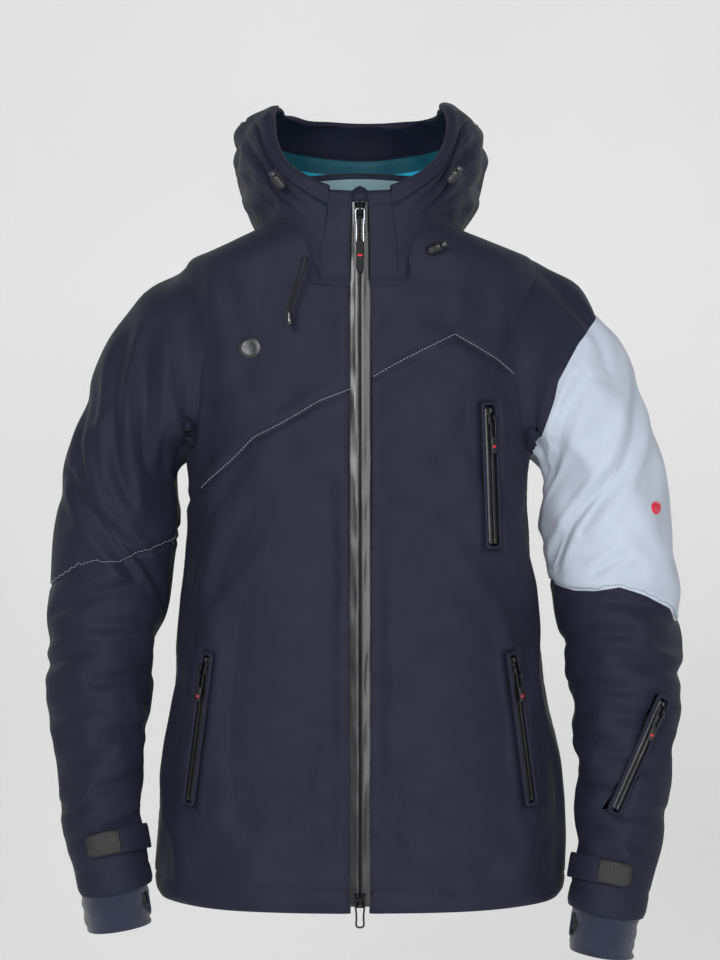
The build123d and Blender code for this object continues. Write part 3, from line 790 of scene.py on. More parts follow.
EDGE_SLOPE = 6.0  # the most that a sleeve's hidden edge may step between neighbouring columns
EDGE_REACH = 30  # how many columns to each side can hold it down
EDGE_TUCK = 10.0  # how far it runs on inside the trunk


class Sleeve:
    def __init__(self, side):
        self.side = side
        self.turns = np.linspace(0, 2 * math.pi, 96, endpoint=False)
        edge = armhole_start(side, self.turns)
        steps = range(-EDGE_REACH, EDGE_REACH + 1)
        lowest = np.min([np.roll(edge, step) + EDGE_SLOPE * abs(step) for step in steps], axis=0)
        self.start = np.maximum(lowest - EDGE_TUCK, 0.0)

    def surface(self, u, v):
        """u is the turn as a share, v runs from the armhole to the cuff."""
        turns = np.concatenate([self.turns, [2 * math.pi]])
        start = np.interp((u % 1.0) * 2 * math.pi, turns, np.concatenate([self.start, self.start[:1]]))
        along = start + v * (SLEEVE_LENGTH - start)
        return sleeve_at(self.side, u * 2 * math.pi, along)


SHOULDER_FILL = {"left": 9.0, "right": 7.0}  # how far cloth fills the join on top of the shoulder
SHOULDER_POINT = (226.0, 5.0, 628.0)
SHOULDER_RISE = 10.0  # how far the cloth stands up round the shoulder's point


def armhole_seam(side):
    """Points round an armhole, the way between the two surfaces there, and how far to fill the join."""
    turns = np.linspace(0, 2 * math.pi, 96, endpoint=False)
    start = armhole_start(side, turns)
    points = sleeve_at(side, turns, start)
    around = sleeve_at(side, turns + 0.02, start) - sleeve_at(side, turns - 0.02, start)
    along = sleeve_at(side, turns, start + 2) - sleeve_at(side, turns, start - 2)
    sleeve_way = np.cross(around, along)
    heart = points.mean(0)
    sleeve_way *= np.sign(np.sum(sleeve_way * (points - heart), -1).sum())
    steps = np.eye(3)
    trunk_way = np.stack([torso_inside(points + step) - torso_inside(points - step) for step in steps], -1)
    sleeve_way /= np.linalg.norm(sleeve_way, axis=-1, keepdims=True)
    trunk_way /= np.linalg.norm(trunk_way, axis=-1, keepdims=True)
    between_ways = sleeve_way + trunk_way
    between_ways /= np.maximum(np.linalg.norm(between_ways, axis=-1, keepdims=True), 1e-6)
    bend = 1 - np.sum(sleeve_way * trunk_way, -1)
    fill = 7.5 * np.clip(bend / 0.6, 0.3, 1) * soft_step(points[:, 2], 420, 520)
    fill += SHOULDER_FILL[side] * soft_step(points[:, 2], 575, 635)
    return points, between_ways, fill


ARMHOLES = {side: armhole_seam(side) for side in SIDES}


def soften_armhole(side, points):
    """The shift that fills the join of trunk and sleeve, the way out there, and how near each point is."""
    seam, ways, fill = ARMHOLES[side]
    flat = points.reshape(-1, 3)
    near = (np.abs(flat[:, 0] - SIDES[side] * 165) < 90) & (flat[:, 2] > 380)
    shift, way, share = np.zeros(flat.shape), np.zeros(flat.shape), np.zeros(len(flat))
    away = np.linalg.norm(flat[near][:, None] - seam[None], axis=-1)
    nearest = away.min(1)
    weight = np.exp((nearest[:, None] - away) / 8)
    weight /= weight.sum(1, keepdims=True)
    out = weight @ ways
    out /= np.maximum(np.linalg.norm(out, axis=1, keepdims=True), 1e-6)
    dip = 0.9 * np.exp(-(nearest / 2.6) ** 2)
    reach = 22 + 8 * soft_step(flat[near][:, 2], 580, 630)
    shift[near] = out * ((weight @ fill) * np.exp(-(nearest / reach) ** 1.4) - dip)[:, None]
    corner = (flat[near] - np.array(SHOULDER_POINT) * [SIDES[side], 1, 1]) / [30, 75, 30]
    shift[near] += SHOULDER_RISE * np.exp(-np.sum(corner ** 2, 1))[:, None] * [SIDES[side] * 0.6, 0, 0.8]
    way[near] = out
    share[near] = np.exp(-(nearest / 11) ** 2) * soft_step(flat[near][:, 2], 430, 500)
    return shift.reshape(points.shape), way.reshape(points.shape), share.reshape(points.shape[:-1] + (1,))


def lean(normals, way, share):
    mixed = normals * (1 - share) + way * share
    return mixed / np.maximum(np.linalg.norm(mixed, axis=-1, keepdims=True), 1e-9)


# ---- trunk --------------------------------------------------------------------------
ZIP_EDGE = 9.0
# The yoke seam across each front: (x, height).
YOKE_LINES = {
    "right": [
        (-300, 330), (-185, 392), (-131, 437), (-106, 461), (-78, 475), (-40, 497), (-9, 509), (0, 512),
    ],
    "left": [(0, 514), (9, 519), (39, 536), (95, 564), (136, 540), (176, 508), (300, 420)],
}
BACK_YOKE_Z = 500.0


def yoke_height(x):
    heights = {side: np.array(line, float) for side, line in YOKE_LINES.items()}
    left = np.interp(x, heights["left"][:, 0], heights["left"][:, 1])
    right = np.interp(x, heights["right"][:, 0], heights["right"][:, 1])
    return np.where(x > 0, left, right)


def torso_surface(u, v):
    """The trunk from the right zip edge, round the back, to the left zip edge; v is height."""
    z = -1.0 + v * 692.0
    half_width = torso_section(z)[0]
    edge = np.arcsin(ZIP_EDGE / half_width)
    direction = -math.pi / 2 - edge - u * (2 * math.pi - 2 * edge)
    return torso_point(direction, z)


def yoke_gap(points):
    """Height above the yoke seam, in front and behind."""
    front = points[..., 1] < torso_section(points[..., 2])[1] + 12
    return points[..., 2] - np.where(front, yoke_height(points[..., 0]), BACK_YOKE_Z)


def side_gap(points):
    return points[..., 1] - torso_section(points[..., 2])[1] - 12


TORSO_DRAPES = [  # (x, z, x, z, width, depth) on the front, mostly upright
    (-60, 60, -52, 300, 16, 1.8), (-118, 40, -96, 330, 18, 2.4), (-28, 80, -30, 420, 13, 1.3),
    (70, 40, 60, 330, 17, 2.0), (120, 60, 104, 300, 15, 2.2), (30, 60, 34, 380, 12, 1.2),
    (-150, 300, -95, 400, 13, 2.6), (-165, 360, -110, 455, 12, 2.4), (150, 300, 100, 385, 13, 2.4),
    (160, 375, 112, 450, 12, 2.2), (-60, 560, -120, 520, 14, 1.8), (60, 590, 120, 560, 14, 1.6),
    (18, 100, 96, 34, 9, 2.6), (-16, 96, -60, 98, 6, 1.4),
]
BACK_DRAPES = [
    (-90, 60, -70, 380, 20, 2.6), (10, 40, 0, 420, 22, 1.8), (92, 60, 78, 380, 20, 2.6),
    (-150, 330, -60, 430, 15, 3.0), (150, 330, 60, 430, 15, 3.0), (-130, 560, -40, 540, 14, 2.0),
    (130, 560, 40, 540, 14, 2.0), (-60, 150, 70, 130, 14, 2.0), (60, 250, -80, 235, 14, 1.8),
]


def torso_folds(points):
    x, y, z = points[..., 0], points[..., 1], points[..., 2]
    front = y < torso_section(z)[1]
    depth = np.where(front, crease_depth(x, z, TORSO_DRAPES), crease_depth(x, z, BACK_DRAPES))
    return depth - 1.1 * waves(points * [1, 1, 0.45], 95.0, 3)


def seam_gap(points):
    """Distance to the nearest sewn seam of the trunk, roughly."""
    x, y, z = points[..., 0], points[..., 1], points[..., 2]
    middle = torso_section(z)[1]
    front = y < middle + 12
    yoke = np.where(front, np.abs(z - yoke_height(x)) * 0.85, np.abs(z - BACK_YOKE_Z))
    side = np.abs(y - middle - 12)
    zip_edge = np.where(front, np.abs(np.abs(x) - ZIP_EDGE), 99.0)
    gap = np.minimum(np.minimum(yoke, side), zip_edge)
    for name in ("chest", "hand_left", "hand_right"):
        gap = np.minimum(gap, np.abs(pocket_zone(points, name)))
    return gap


def hem_pinch(z):
    return 1.3 * np.exp(-((z - 20) / 3.2) ** 2) + 2.2 * np.exp(-((z + 1) / 3.0) ** 2)


def build_torso():
    rows, columns = 118, 200
    v, u = np.meshgrid(np.linspace(0, 1, rows), np.linspace(0, 1, columns), indexing="ij")
    rest = torso_surface(u, v)
    normals = turn_normals(grid_normals(rest, False), rows // 2, columns // 2, BACKWARD)
    folds = torso_folds(rest)
    base = rest - normals * folds[..., None]
    shift = np.zeros_like(rest)
    pin = np.zeros((rows, columns))
    pin = np.maximum(pin, soft_step(rest[..., 2], 640, 672))
    pin = np.maximum(pin, (rest[..., 2] < 2) * 1.0)
    pin[:, :3] = pin[:, -3:] = 1.0
    pin = np.maximum(pin, 0.6 * np.exp(-(seam_gap(rest) / 4.0) ** 2))
    for name in ("chest", "hand_left", "hand_right"):
        pin = np.maximum(pin, pocket_zone(rest, name, 4.0) < 0)
    x, y, z = np.abs(rest[..., 0]), np.abs(rest[..., 1]), rest[..., 2]
    pin = np.maximum(pin, (x > 120) & (np.abs(z - 540) < 90) & (y < 60))
    shift = relax(base, False, pin, 0.012, 2.0, 6.0, 16, bending=2.5)
    shift = shift - normals * folds[..., None]

    rows, columns = 2 * rows - 1, 2 * columns - 1
    v, u = np.meshgrid(np.linspace(0, 1, rows), np.linspace(0, 1, columns), indexing="ij")

    u, v, side = snap(torso_surface, u, v, side_gap, False)
    u, v, yoke = snap(torso_surface, u, v, yoke_gap, False, side == 0)
    rest = torso_surface(u, v)
    rest_normals = turn_normals(grid_normals(rest, False), rows // 2, columns // 2, BACKWARD)
    gap = seam_gap(rest)
    dip = 2.0 * np.exp(-(gap / 3.2) ** 2) - 0.7 * np.exp(-((gap - 9) / 5.0) ** 2) + hem_pinch(rest[..., 2])
    dip += 0.22 * waves(rest * [1, 1, 1.6], 14.0, 8) * np.exp(-(gap / 16.0) ** 2)
    for name in ("chest", "hand_left", "hand_right"):
        dip += 1.4 * soft_step(-pocket_zone(rest, name), -6, 1)
    moved = sample(shift, u, v, False) - rest_normals * dip[..., None]
    depth = -np.sum(moved * rest_normals, -1, keepdims=True)
    points = rest + moved + rest_normals * np.maximum(depth - 4.5, 0)
    joins = [soften_armhole(side_name, rest) for side_name in SIDES]
    for moved, _, _ in joins:
        points = points + moved
    normals = turn_normals(grid_normals(points, False), rows // 2, columns // 2, BACKWARD)
    for _, way, share in joins:
        normals = lean(normals, way, share)
    faces = turn_faces(grid_faces(rows, columns, False), points, rows // 2, columns // 2, BACKWARD)
    faces = split_along(split_along(faces.reshape(-1, 4), yoke), side)
    centre = rest.reshape(-1, 3)[faces].mean(-2)
    above = yoke.reshape(-1)[faces].sum(-1) > 0
    behind = side.reshape(-1)[faces].sum(-1) > 0
    region = np.where(behind, 4 + above, np.where(centre[:, 0] < 0, 0, 2) + above)
    for name in ("chest", "hand_left", "hand_right"):
        region = np.where(pocket_zone(centre, name, -1.5) < 0, -1, region)
    armhole = ((centre[:, 1] - 5) / 82) ** 2 + ((centre[:, 2] - 528) / 113) ** 2 < 0.66
    region = np.where(armhole & (np.abs(centre[:, 0]) > 90), -1, region)
    names = ["front_panel_right", "front_yoke_right", "front_panel_left", "front_yoke_left",
             "back_panel", "back_yoke"]
    for number, name in enumerate(names):
        piece = cut_from_grid(name + "_cloth", points, normals, faces[region == number], 4.0)
        finish_piece(piece, "shell_fabric", "torso", [name], padded=0.5)
    return points, normals, rest


def cloth_point(points, normals, rest, x, z):
    """The finished cloth's point and way out at (x, z) of its rest shape, from its six nearest points."""
    away = np.hypot(rest[:, 0] - x, rest[:, 2] - z)
    nearest = np.argpartition(away, 6)[:6]
    weight = 1 / (away[nearest] + 0.05) ** 2
    weight = (weight / weight.sum())[:, None]
    offset = np.array([x, 0, z]) - (rest[nearest] * weight).sum(0)
    return (points[nearest] * weight).sum(0) + offset * [1, 0, 1], (normals[nearest] * weight).sum(0)


def trunk_line(along):
    """Follow (x, z) points over the trunk's front, on the finished cloth."""
    front = TRUNK[2][..., 1] < 20
    cloth = [grid[front] for grid in TRUNK]
    points, normals = np.swapaxes([cloth_point(*cloth, x, z) for x, z in along], 0, 1)
    normals = normals / np.linalg.norm(normals, axis=1, keepdims=True)
    return points + normals * 0.25, normals


TRUNK = build_torso()

YOKE_STITCH_REACH = {"left": 180.0, "right": 164.0}
STITCH_ABOVE_YOKE = 2.2
PLACKET_STITCH_X = 14.5
HEM_STITCH_Z = 22.0

yoke_stitches, tonal = [], []
for side, sign in SIDES.items():
    stitch_x = np.arange(ZIP_EDGE, YOKE_STITCH_REACH[side], 2.0) * sign
    yoke_stitches.append(trunk_line(np.stack([stitch_x, yoke_height(stitch_x) + STITCH_ABOVE_YOKE], 1)))
    tonal.append(trunk_line([(sign * PLACKET_STITCH_X, z) for z in np.arange(8.0, 600.0, 3.0)]))
hem_row = int(np.argmin(np.abs(TRUNK[2][:, 0, 2] - HEM_STITCH_Z)))
tonal.append((TRUNK[0][hem_row] + TRUNK[1][hem_row] * 0.2, TRUNK[1][hem_row]))
stitches("yoke_stitches", yoke_stitches, "thread", "torso", pitch=3.4, dash=2.7, radius=0.42)
stitches("placket_stitches", tonal, "tonal_thread", "torso")

# ---- sleeves ------------------------------------------------------------------------
# Creases round a sleeve: (turn share, height, turn share, height, width, depth) in mm. A share of 0.75 is
# the front.
BACK_CREASES = [
    (0.40, 520, 0.12, 590, 12, 4.5), (0.44, 450, 0.14, 540, 12, 5.0), (0.42, 385, 0.10, 450, 11, 5.0),
    (0.40, 330, 0.10, 380, 10, 4.5), (0.30, 600, 0.36, 470, 10, 3.0), (0.20, 560, 0.30, 400, 10, 3.5),
]
UPPER_CREASES = {
    "right": BACK_CREASES + [
        (0.78, 618, 0.70, 560, 7, 3.0), (0.83, 604, 0.63, 515, 7, 4.5), (0.84, 566, 0.54, 441, 8, 6.0),
        (0.87, 560, 0.65, 424, 8, 6.5), (0.91, 552, 0.69, 388, 8, 6.5), (0.96, 500, 0.80, 392, 8, 4.5),
        (0.91, 432, 0.65, 312, 9, 6.5), (0.80, 380, 0.58, 318, 8, 5.0), (0.02, 430, 0.86, 350, 9, 5.0),
    ],
    "left": BACK_CREASES + [
        (0.93, 600, 0.86, 516, 7, 3.0), (0.87, 556, 0.53, 438, 7, 5.5), (0.82, 521, 0.59, 439, 7, 5.0),
        (0.96, 520, 0.66, 362, 9, 5.5), (0.68, 468, 0.50, 415, 7, 5.0), (0.80, 436, 0.57, 346, 8, 6.0),
        (0.00, 440, 0.70, 342, 9, 5.5), (0.62, 372, 0.50, 340, 7, 4.5), (0.78, 345, 0.68, 322, 6, 3.0),
    ],
}
FORE_CREASES = [
    (0.58, 306, 0.92, 282, 9, 5.5), (0.50, 268, 0.78, 262, 8, 6.0), (0.70, 240, 1.02, 222, 9, 6.0),
    (0.48, 222, 0.76, 206, 8, 5.5), (0.66, 184, 0.98, 176, 9, 5.5), (0.46, 168, 0.74, 152, 8, 5.5),
    (0.64, 138, 0.96, 126, 8, 5.0), (0.48, 120, 0.78, 100, 7, 5.0), (0.70, 88, 1.0, 84, 7, 4.5),
    (0.50, 76, 0.74, 64, 6, 4.0), (0.74, 58, 0.98, 50, 6, 3.0),
    (0.08, 292, 0.40, 300, 10, 5.5), (0.02, 250, 0.30, 244, 10, 6.0), (0.20, 216, 0.50, 226, 9, 5.5),
    (0.02, 190, 0.32, 180, 9, 5.5), (0.20, 152, 0.48, 160, 8, 5.0), (0.04, 126, 0.30, 118, 8, 5.0),
    (0.18, 92, 0.46, 98, 7, 4.5), (0.04, 66, 0.32, 60, 6, 3.5),
]
TURN_MM = 400.0  # length of a full turn, for measuring creases
ELBOW_PANEL_TOP = 345.0

# The sleeve's seams as (x, height): the grey panel's front and lower edges, and the right sleeve's seam.
GREY_FRONT_EDGE = [(262, 640), (249, 598), (222, 560), (200, 520), (196, 502), (178, 450), (172, 430)]
GREY_LOWER_EDGE = [
    (150, 342), (193, 325), (202, 315), (220, 309), (238, 309), (262, 313), (290, 304), (315, 292),
    (335, 270), (360, 256),
]
RIGHT_SEAM = [
    (-340, 300), (-303, 322), (-285, 334), (-268, 337), (-243, 336), (-212, 350), (-186, 363),
    (-150, 372),
]


def edge_height(line, x):
    line = np.array(line, float)
    order = np.argsort(line[:, 0])
    return np.interp(x, line[order, 0], line[order, 1])


def grey_side(points):
    """Positive on the grey panel's side of its edges, in front and behind, in mm."""
    line = np.array(GREY_FRONT_EDGE, float)[::-1]
    edge_x = np.interp(points[..., 2], line[:, 1], line[:, 0])
    rear = soft_step(points[..., 1], -20, 60)
    return (points[..., 0] - edge_x + 25 * rear) * 0.75


def tuck_under(rest, sign):
    """Draw a sleeve's lower edge into the trunk, where the two surfaces nearly run together."""
    run = np.linalg.norm(rest - rest[:1], axis=-1)
    size = 12.0 * (1 - soft_step(run, 0, 30)) * (1 - soft_step(rest[..., 2], 500, 560))
    inward = (np.array([sign * 120.0, 5.0, 0.0]) - rest) * [1, 1, 0]
    return inward / np.linalg.norm(inward, axis=-1, keepdims=True) * size[..., None]


def build_sleeve(side):
    sleeve = Sleeve(side)
    sign = SIDES[side]
    rows, columns = 128, 96
    v, u = np.meshgrid(np.linspace(0, 1, rows), np.arange(columns) / columns, indexing="ij")
    rest = sleeve.surface(u, v)

    def outward(points):
        normals = grid_normals(points, True)
        centre = points.mean(1, keepdims=True)
        flip = np.sign(np.sum(normals * (points - centre), -1).mean())
        return normals * flip

    normals = outward(rest)
    creases = [(a * TURN_MM, b, c * TURN_MM, d, w, depth) for a, b, c, d, w, depth in UPPER_CREASES[side]]
    creases += [(a * TURN_MM, b, c * TURN_MM, d, w, depth * 0.62) for a, b, c, d, w, depth in FORE_CREASES]
    if side == "right":
        creases = [(a + 14 * (b < 315), b + 9 * (b < 315), c, d + 7 * (b < 315), w, depth)
                   for a, b, c, d, w, depth in creases]
    height = rest[..., 2] * 0.6 + 0.4 * rest[..., 2].mean(1, keepdims=True)
    depth = crease_depth(u * TURN_MM, height, creases, TURN_MM)
    puff = 1.2 * soft_step(v, 0.03, 0.12) * (1 - soft_step(v, 0.88, 0.97))
    press = depth - puff - 0.9 * waves(rest, 60.0, 21 if side == "left" else 34) * soft_step(1 - v, 0.05, 0.2)
    base = rest - normals * press[..., None]
    shift = np.zeros_like(rest)
    pin = np.zeros((rows, columns))
    pin[:2] = pin[-9:] = 1.0
    pin = np.maximum(pin, 0.95 * soft_step(depth, 1.8, 4.0))
    if side == "left":
        pin = np.maximum(pin, pocket_zone(rest, "sleeve", 4.0) < 0)
    shift = relax(base, True, pin, 0.03, 1.4, 4.0, 16, bending=1.6)
    shift = shift - normals * press[..., None]

    rows, columns = 2 * rows - 1, 2 * columns
    v, u = np.meshgrid(np.linspace(0, 1, rows), np.arange(columns) / columns, indexing="ij")
    seam_line = GREY_LOWER_EDGE if side == "left" else RIGHT_SEAM
    u, v, low = snap(sleeve.surface, u, v, lambda p: p[..., 2] - edge_height(seam_line, p[..., 0]), True)
    grey = np.ones(u.shape)
    if side == "left":
        u, v, grey = snap(sleeve.surface, u, v, grey_side, True, low == 0)
    rest = sleeve.surface(u, v)
    rest_normals = outward(rest)
    seam_gap_mm = np.abs(rest[..., 2] - edge_height(seam_line, rest[..., 0]))
    if side == "left":
        seam_gap_mm = np.minimum(seam_gap_mm, np.abs(grey_side(rest)))
    dip = 1.8 * np.exp(-(seam_gap_mm / 3.0) ** 2)
    cuff_gap = (1 - v) * 520
    dip += 1.6 * np.exp(-(cuff_gap / 3.0) ** 2) + 0.9 * np.exp(-((cuff_gap - 21) / 2.5) ** 2)
    if side == "left":
        dip += 1.6 * soft_step(-pocket_zone(rest, "sleeve"), -7, 1)
    points = rest + sample(shift, u, v, True) - rest_normals * dip[..., None]
    moved, way, share = soften_armhole(side, rest)
    points = points + moved + tuck_under(rest, sign)
    normals = lean(outward(points), way, share)
    faces = turn_faces(grid_faces(rows, columns, True), points, rows // 2, 0, normals[rows // 2, 0])
    faces = split_along(split_along(faces.reshape(-1, 4), low), grey)
    centre = rest.reshape(-1, 3)[faces].mean(-2)
    split = int(np.argmin(np.abs(rest[:, 0, 2] - ELBOW_PANEL_TOP)))
    below_seam = low.reshape(-1)[faces].sum(-1) < 0
    upper = ((faces // columns).min(-1) < split) & ~below_seam
    in_pocket = pocket_zone(centre, "sleeve", -0.2) < 0 if side == "left" else np.zeros(upper.shape, bool)
    shoulder = [place(p) for p in ((sign * 168, 5, 445), (sign * 218, 5, 407))]
    elbow = [place(p) for p in ((sign * 263, -4, 328), (sign * 272, -17, 232))]
    up_bend = ("torso", "upper_arm_" + side, *shoulder)
    low_bend = ("upper_arm_" + side, "forearm_" + side, *elbow)

    def piece(name, chosen, material, bend, replaces, fill=0.7):
        made = cut_from_grid(name, points, normals, faces[chosen], 5.0)
        finish_piece(made, material, None, replaces, padded=fill)
        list(bend[:2])
        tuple(bend[2])
        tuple(bend[3])
        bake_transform(made)
        return made

    if side == "left":
        grey = grey.reshape(-1)[faces].sum(-1) > 0
        piece("sleeve_cap_left", upper & ~grey, "shell_fabric", up_bend, [])
        piece("upper_sleeve_panel_left", upper & grey, "panel_fabric", up_bend,
              ["shoulder_gusset_left", "upper_sleeve_left"])
        piece("elbow_panel_left", ~upper & ~below_seam, "panel_fabric", low_bend, ["elbow_gusset_left"])
        piece("lower_sleeve_cloth_left", below_seam & ~in_pocket, "shell_fabric", low_bend,
              ["lower_sleeve_left"])
    else:
        piece("upper_sleeve_cloth_right", upper, "shell_fabric", up_bend,
              ["shoulder_gusset_right", "upper_sleeve_right"])
        piece("elbow_cloth_right", ~upper & ~below_seam, "shell_fabric", low_bend, ["elbow_gusset_right"])
        piece("lower_sleeve_cloth_right", below_seam, "shell_fabric", low_bend, ["lower_sleeve_right"])
    return points, normals, rest, low_bend


SLEEVES = {side: build_sleeve(side) for side in SIDES}
STITCH_ABOVE_SEAM = 3.0


def seam_run(side, line):
    """The seam's course round a sleeve, just above its line, as points and normals."""
    points, normals, rest, _ = SLEEVES[side]
    out_points, out_normals = [], []
    for column in range(points.shape[1]):
        z = rest[:, column, 2]
        target = edge_height(line, rest[:, column, 0]) + STITCH_ABOVE_SEAM
        row = int(np.argmin(np.abs(z - target) + (z > 480) * 500))
        out_points.append(points[row, column] + normals[row, column] * 0.3)
        out_normals.append(normals[row, column])
    return np.array(out_points), np.array(out_normals)


stitches("sleeve_stitches_right", [seam_run("right", RIGHT_SEAM)], "thread", SLEEVES["right"][3], radius=0.42)
stitches("sleeve_stitches_left", [seam_run("left", GREY_LOWER_EDGE)], "tonal_thread", SLEEVES["left"][3])

# ---- wrist gaiters ------------------------------------------------------------------
GAITER_KEYS = distances(np.array(GAITER)[:, :3])
GAITER_TABLE = np.column_stack([GAITER_KEYS, np.array(GAITER)])


def build_gaiter(side):
    sign = SIDES[side]
    rows, columns = 64, 144
    v, u = np.meshgrid(np.linspace(0, 1, rows), np.arange(columns) / columns, indexing="ij")
    turn = u * 2 * math.pi
    points = sleeve_at(side, turn, v * GAITER_KEYS[-1], 0.0, GAITER_TABLE)
    centre = points.mean(1, keepdims=True)
    out = points - centre
    out /= np.linalg.norm(out, axis=-1, keepdims=True)
    ruck = 0.7 * waves(points * [0.5, 0.5, 2.0], 22.0, 5 if side == "left" else 6)
    ruck += 0.25 * np.cos(turn * 72)
    ruck += 0.8 * np.exp(-((v - 0.97) / 0.02) ** 2) - 0.5 * np.exp(-((v - 0.9) / 0.012) ** 2)
    points = points + out * ruck[..., None]
    hole = np.array([sign * 214, -80, -24 + CUFF_LIFT[side]])
    faces = grid_faces(rows, columns, True)
    middle = points.reshape(-1, 3)[faces].mean(-2)
    away = np.hypot(middle[..., 1] - hole[1], middle[..., 2] - hole[2])
    keep = ~((away < 12.0) & (np.abs(middle[..., 0] - hole[0]) < 20))
    away = np.hypot(points[..., 1] - hole[1], points[..., 2] - hole[2])
    near = (np.abs(points[..., 0] - hole[0]) < 20) & (away > 9.0) & (away < 14.5)
    ring = hole[1:] + (points[..., 1:] - hole[1:]) / np.maximum(away, 1e-3)[..., None] * 12.3
    points[..., 1:] = np.where((near & (np.abs(away - 12) < 1.3))[..., None], ring, points[..., 1:])
    faces = turn_faces(faces, points, 0, 0, out[0, 0])
    piece = cut_from_grid("wrist_gaiter_knit_" + side, points, out, faces[keep], 1.8)
    finish_piece(piece, "knit", "forearm_" + side, ["wrist_gaiter_" + side])
    turn = np.linspace(0, 2 * math.pi, 49)
    edge = np.stack([0 * turn, hole[1] + 12.4 * np.cos(turn), hole[2] + 12.4 * np.sin(turn)], -1)
    ring_centre = centre[:, 0]
    for k in range(len(edge)):
        level = ring_centre[np.argmin(np.abs(ring_centre[:, 2] - edge[k, 2]))]
        radius = 33.4
        depth = np.sqrt(max(radius ** 2 - (edge[k, 1] - level[1]) ** 2, 1.0))
        edge[k, 0] = level[0] - sign * depth
    finish_piece(tube_mesh("thumb_hole_binding_" + side, edge, 1.1), "knit", "forearm_" + side)


for side in SIDES:
    build_gaiter(side)

# ---- cuff tabs ----------------------------------------------------------------------
TAB_THICK = 2.2
CUFF_RADIUS = 43.0
TAB_PLACE = {"left": 0.42, "right": 0.28}


def cuff_frame(side):
    sign = SIDES[side]
    (x0, y0, z0), (x1, y1, z1) = [(sign * x, y, float(lifted(np.array(float(z)), side)))
                                  for x, y, z, *_ in SLEEVE[-2:]]
    top, low = np.array([x0, y0, z0]), np.array([x1, y1, z1])
    down = (low - top) / np.linalg.norm(low - top)
    across = np.array([1.0, 0, 0]) - down * down[0]
    across /= np.linalg.norm(across)
    up = -down
    return top + (low - top) * TAB_PLACE[side], across, np.cross(up, across), up


def curved_plate(name, side, radius, thick, height, low, high, taper, wobble):
    """A strip round the cuff between two angles from its inner side by the front, its free end rounded."""
    sign = SIDES[side]
    heart, across, back, up = cuff_frame(side)
    columns, rows = 56, 15
    a, b = np.meshgrid(np.linspace(0, 1, columns), np.linspace(-1, 1, rows), indexing="ij")
    angle = np.radians(low + (high - low) * a)
    end = np.sqrt(np.clip(1 - (np.clip(a - (1 - taper), 0, 1) / taper * 0.92) ** 2, 0, 1))
    half = height / 2 * (0.35 + 0.65 * end)
    lift = 0.5 * np.sin(a * 9 + wobble) * np.sin(b * 2.1 + wobble)
    edge_round = 0.7 * (1 - np.clip((1 - np.abs(b)) * 5, 0, 1)) + 0.6 * (1 - np.clip((1 - a) * 12, 0, 1))

    def layer(offset):
        r = offset[..., None]
        return (heart + across * (-sign * np.cos(angle))[..., None] * r
                + back * (-np.sin(angle))[..., None] * r + up * (b * half)[..., None])

    outer = layer(radius + thick + lift - edge_round)
    inner = layer(np.full(lift.shape, radius + 0.1))
    every = closed_faces(grid_faces(columns, rows, False).reshape(-1, 4), columns * rows)[0]
    made = mesh_object(name, np.concatenate([outer.reshape(-1, 3), inner.reshape(-1, 3)]), every)
    mesh_clean(made)
    return made


for side in SIDES:
    tab = curved_plate("cuff_tab_cloth_" + side, side, CUFF_RADIUS + 1.6, TAB_THICK, 25, 8, 108, 0.12, 0.4)
    finish_piece(tab, "shell_fabric", "cuff_tab_" + side, ["cuff_tab_" + side])
    pad_radius = CUFF_RADIUS + 1.6 + TAB_THICK - 0.3
    pad = curved_plate("cuff_tab_end_" + side, side, pad_radius, 1.9, 23, 66, 107, 0.3, 1.4)
    finish_piece(pad, "hook_tape", "cuff_tab_" + side)

# ---- collar -------------------------------------------------------------------------
SEAM_FRONT_Z, SEAM_BACK_Z = 618.0, 700.0
TOP_FRONT_Z, TOP_BACK_Z = 704.0, 745.0


def collar_section(z, grow=0.0):
    half_width, back = between(COLLAR, z)
    front = front_line(z)
    return half_width + grow, (front + back) / 2, (back - front) / 2 + grow


def collar_height(direction, share):
    """Height of the collar at a share from its seam to its top, which both rise to the back."""
    rear = (1 + np.sin(direction)) / 2
    low = SEAM_FRONT_Z + (SEAM_BACK_Z - SEAM_FRONT_Z) * rear - 6
    high = TOP_FRONT_Z + (TOP_BACK_Z - TOP_FRONT_Z) * rear
    return low + (high - low) * share


def over_share(share):
    """How far over the collar's top edge a share lies, 0 to 1."""
    return np.clip((share - 1) / 0.2, 0, 1)


def collar_path(direction, share, wall=8.0):
    """Up the outside for shares to 1, over the top edge to 1.2, and down the inside to 2."""
    up = np.clip(share, 0, 1)
    over = over_share(share)
    down = np.clip((share - 1.2) / 0.8, 0, 1)
    z = collar_height(direction, np.where(share <= 1.2, up, 1 - down * 0.92))
    grow = 1.5 - (wall / 2) * (1 - np.cos(math.pi * over))
    rise = (wall / 2) * np.sin(math.pi * over)
    x, y = ring_point(direction, *collar_section(z, grow))
    return np.stack([x, y, z + rise], -1)


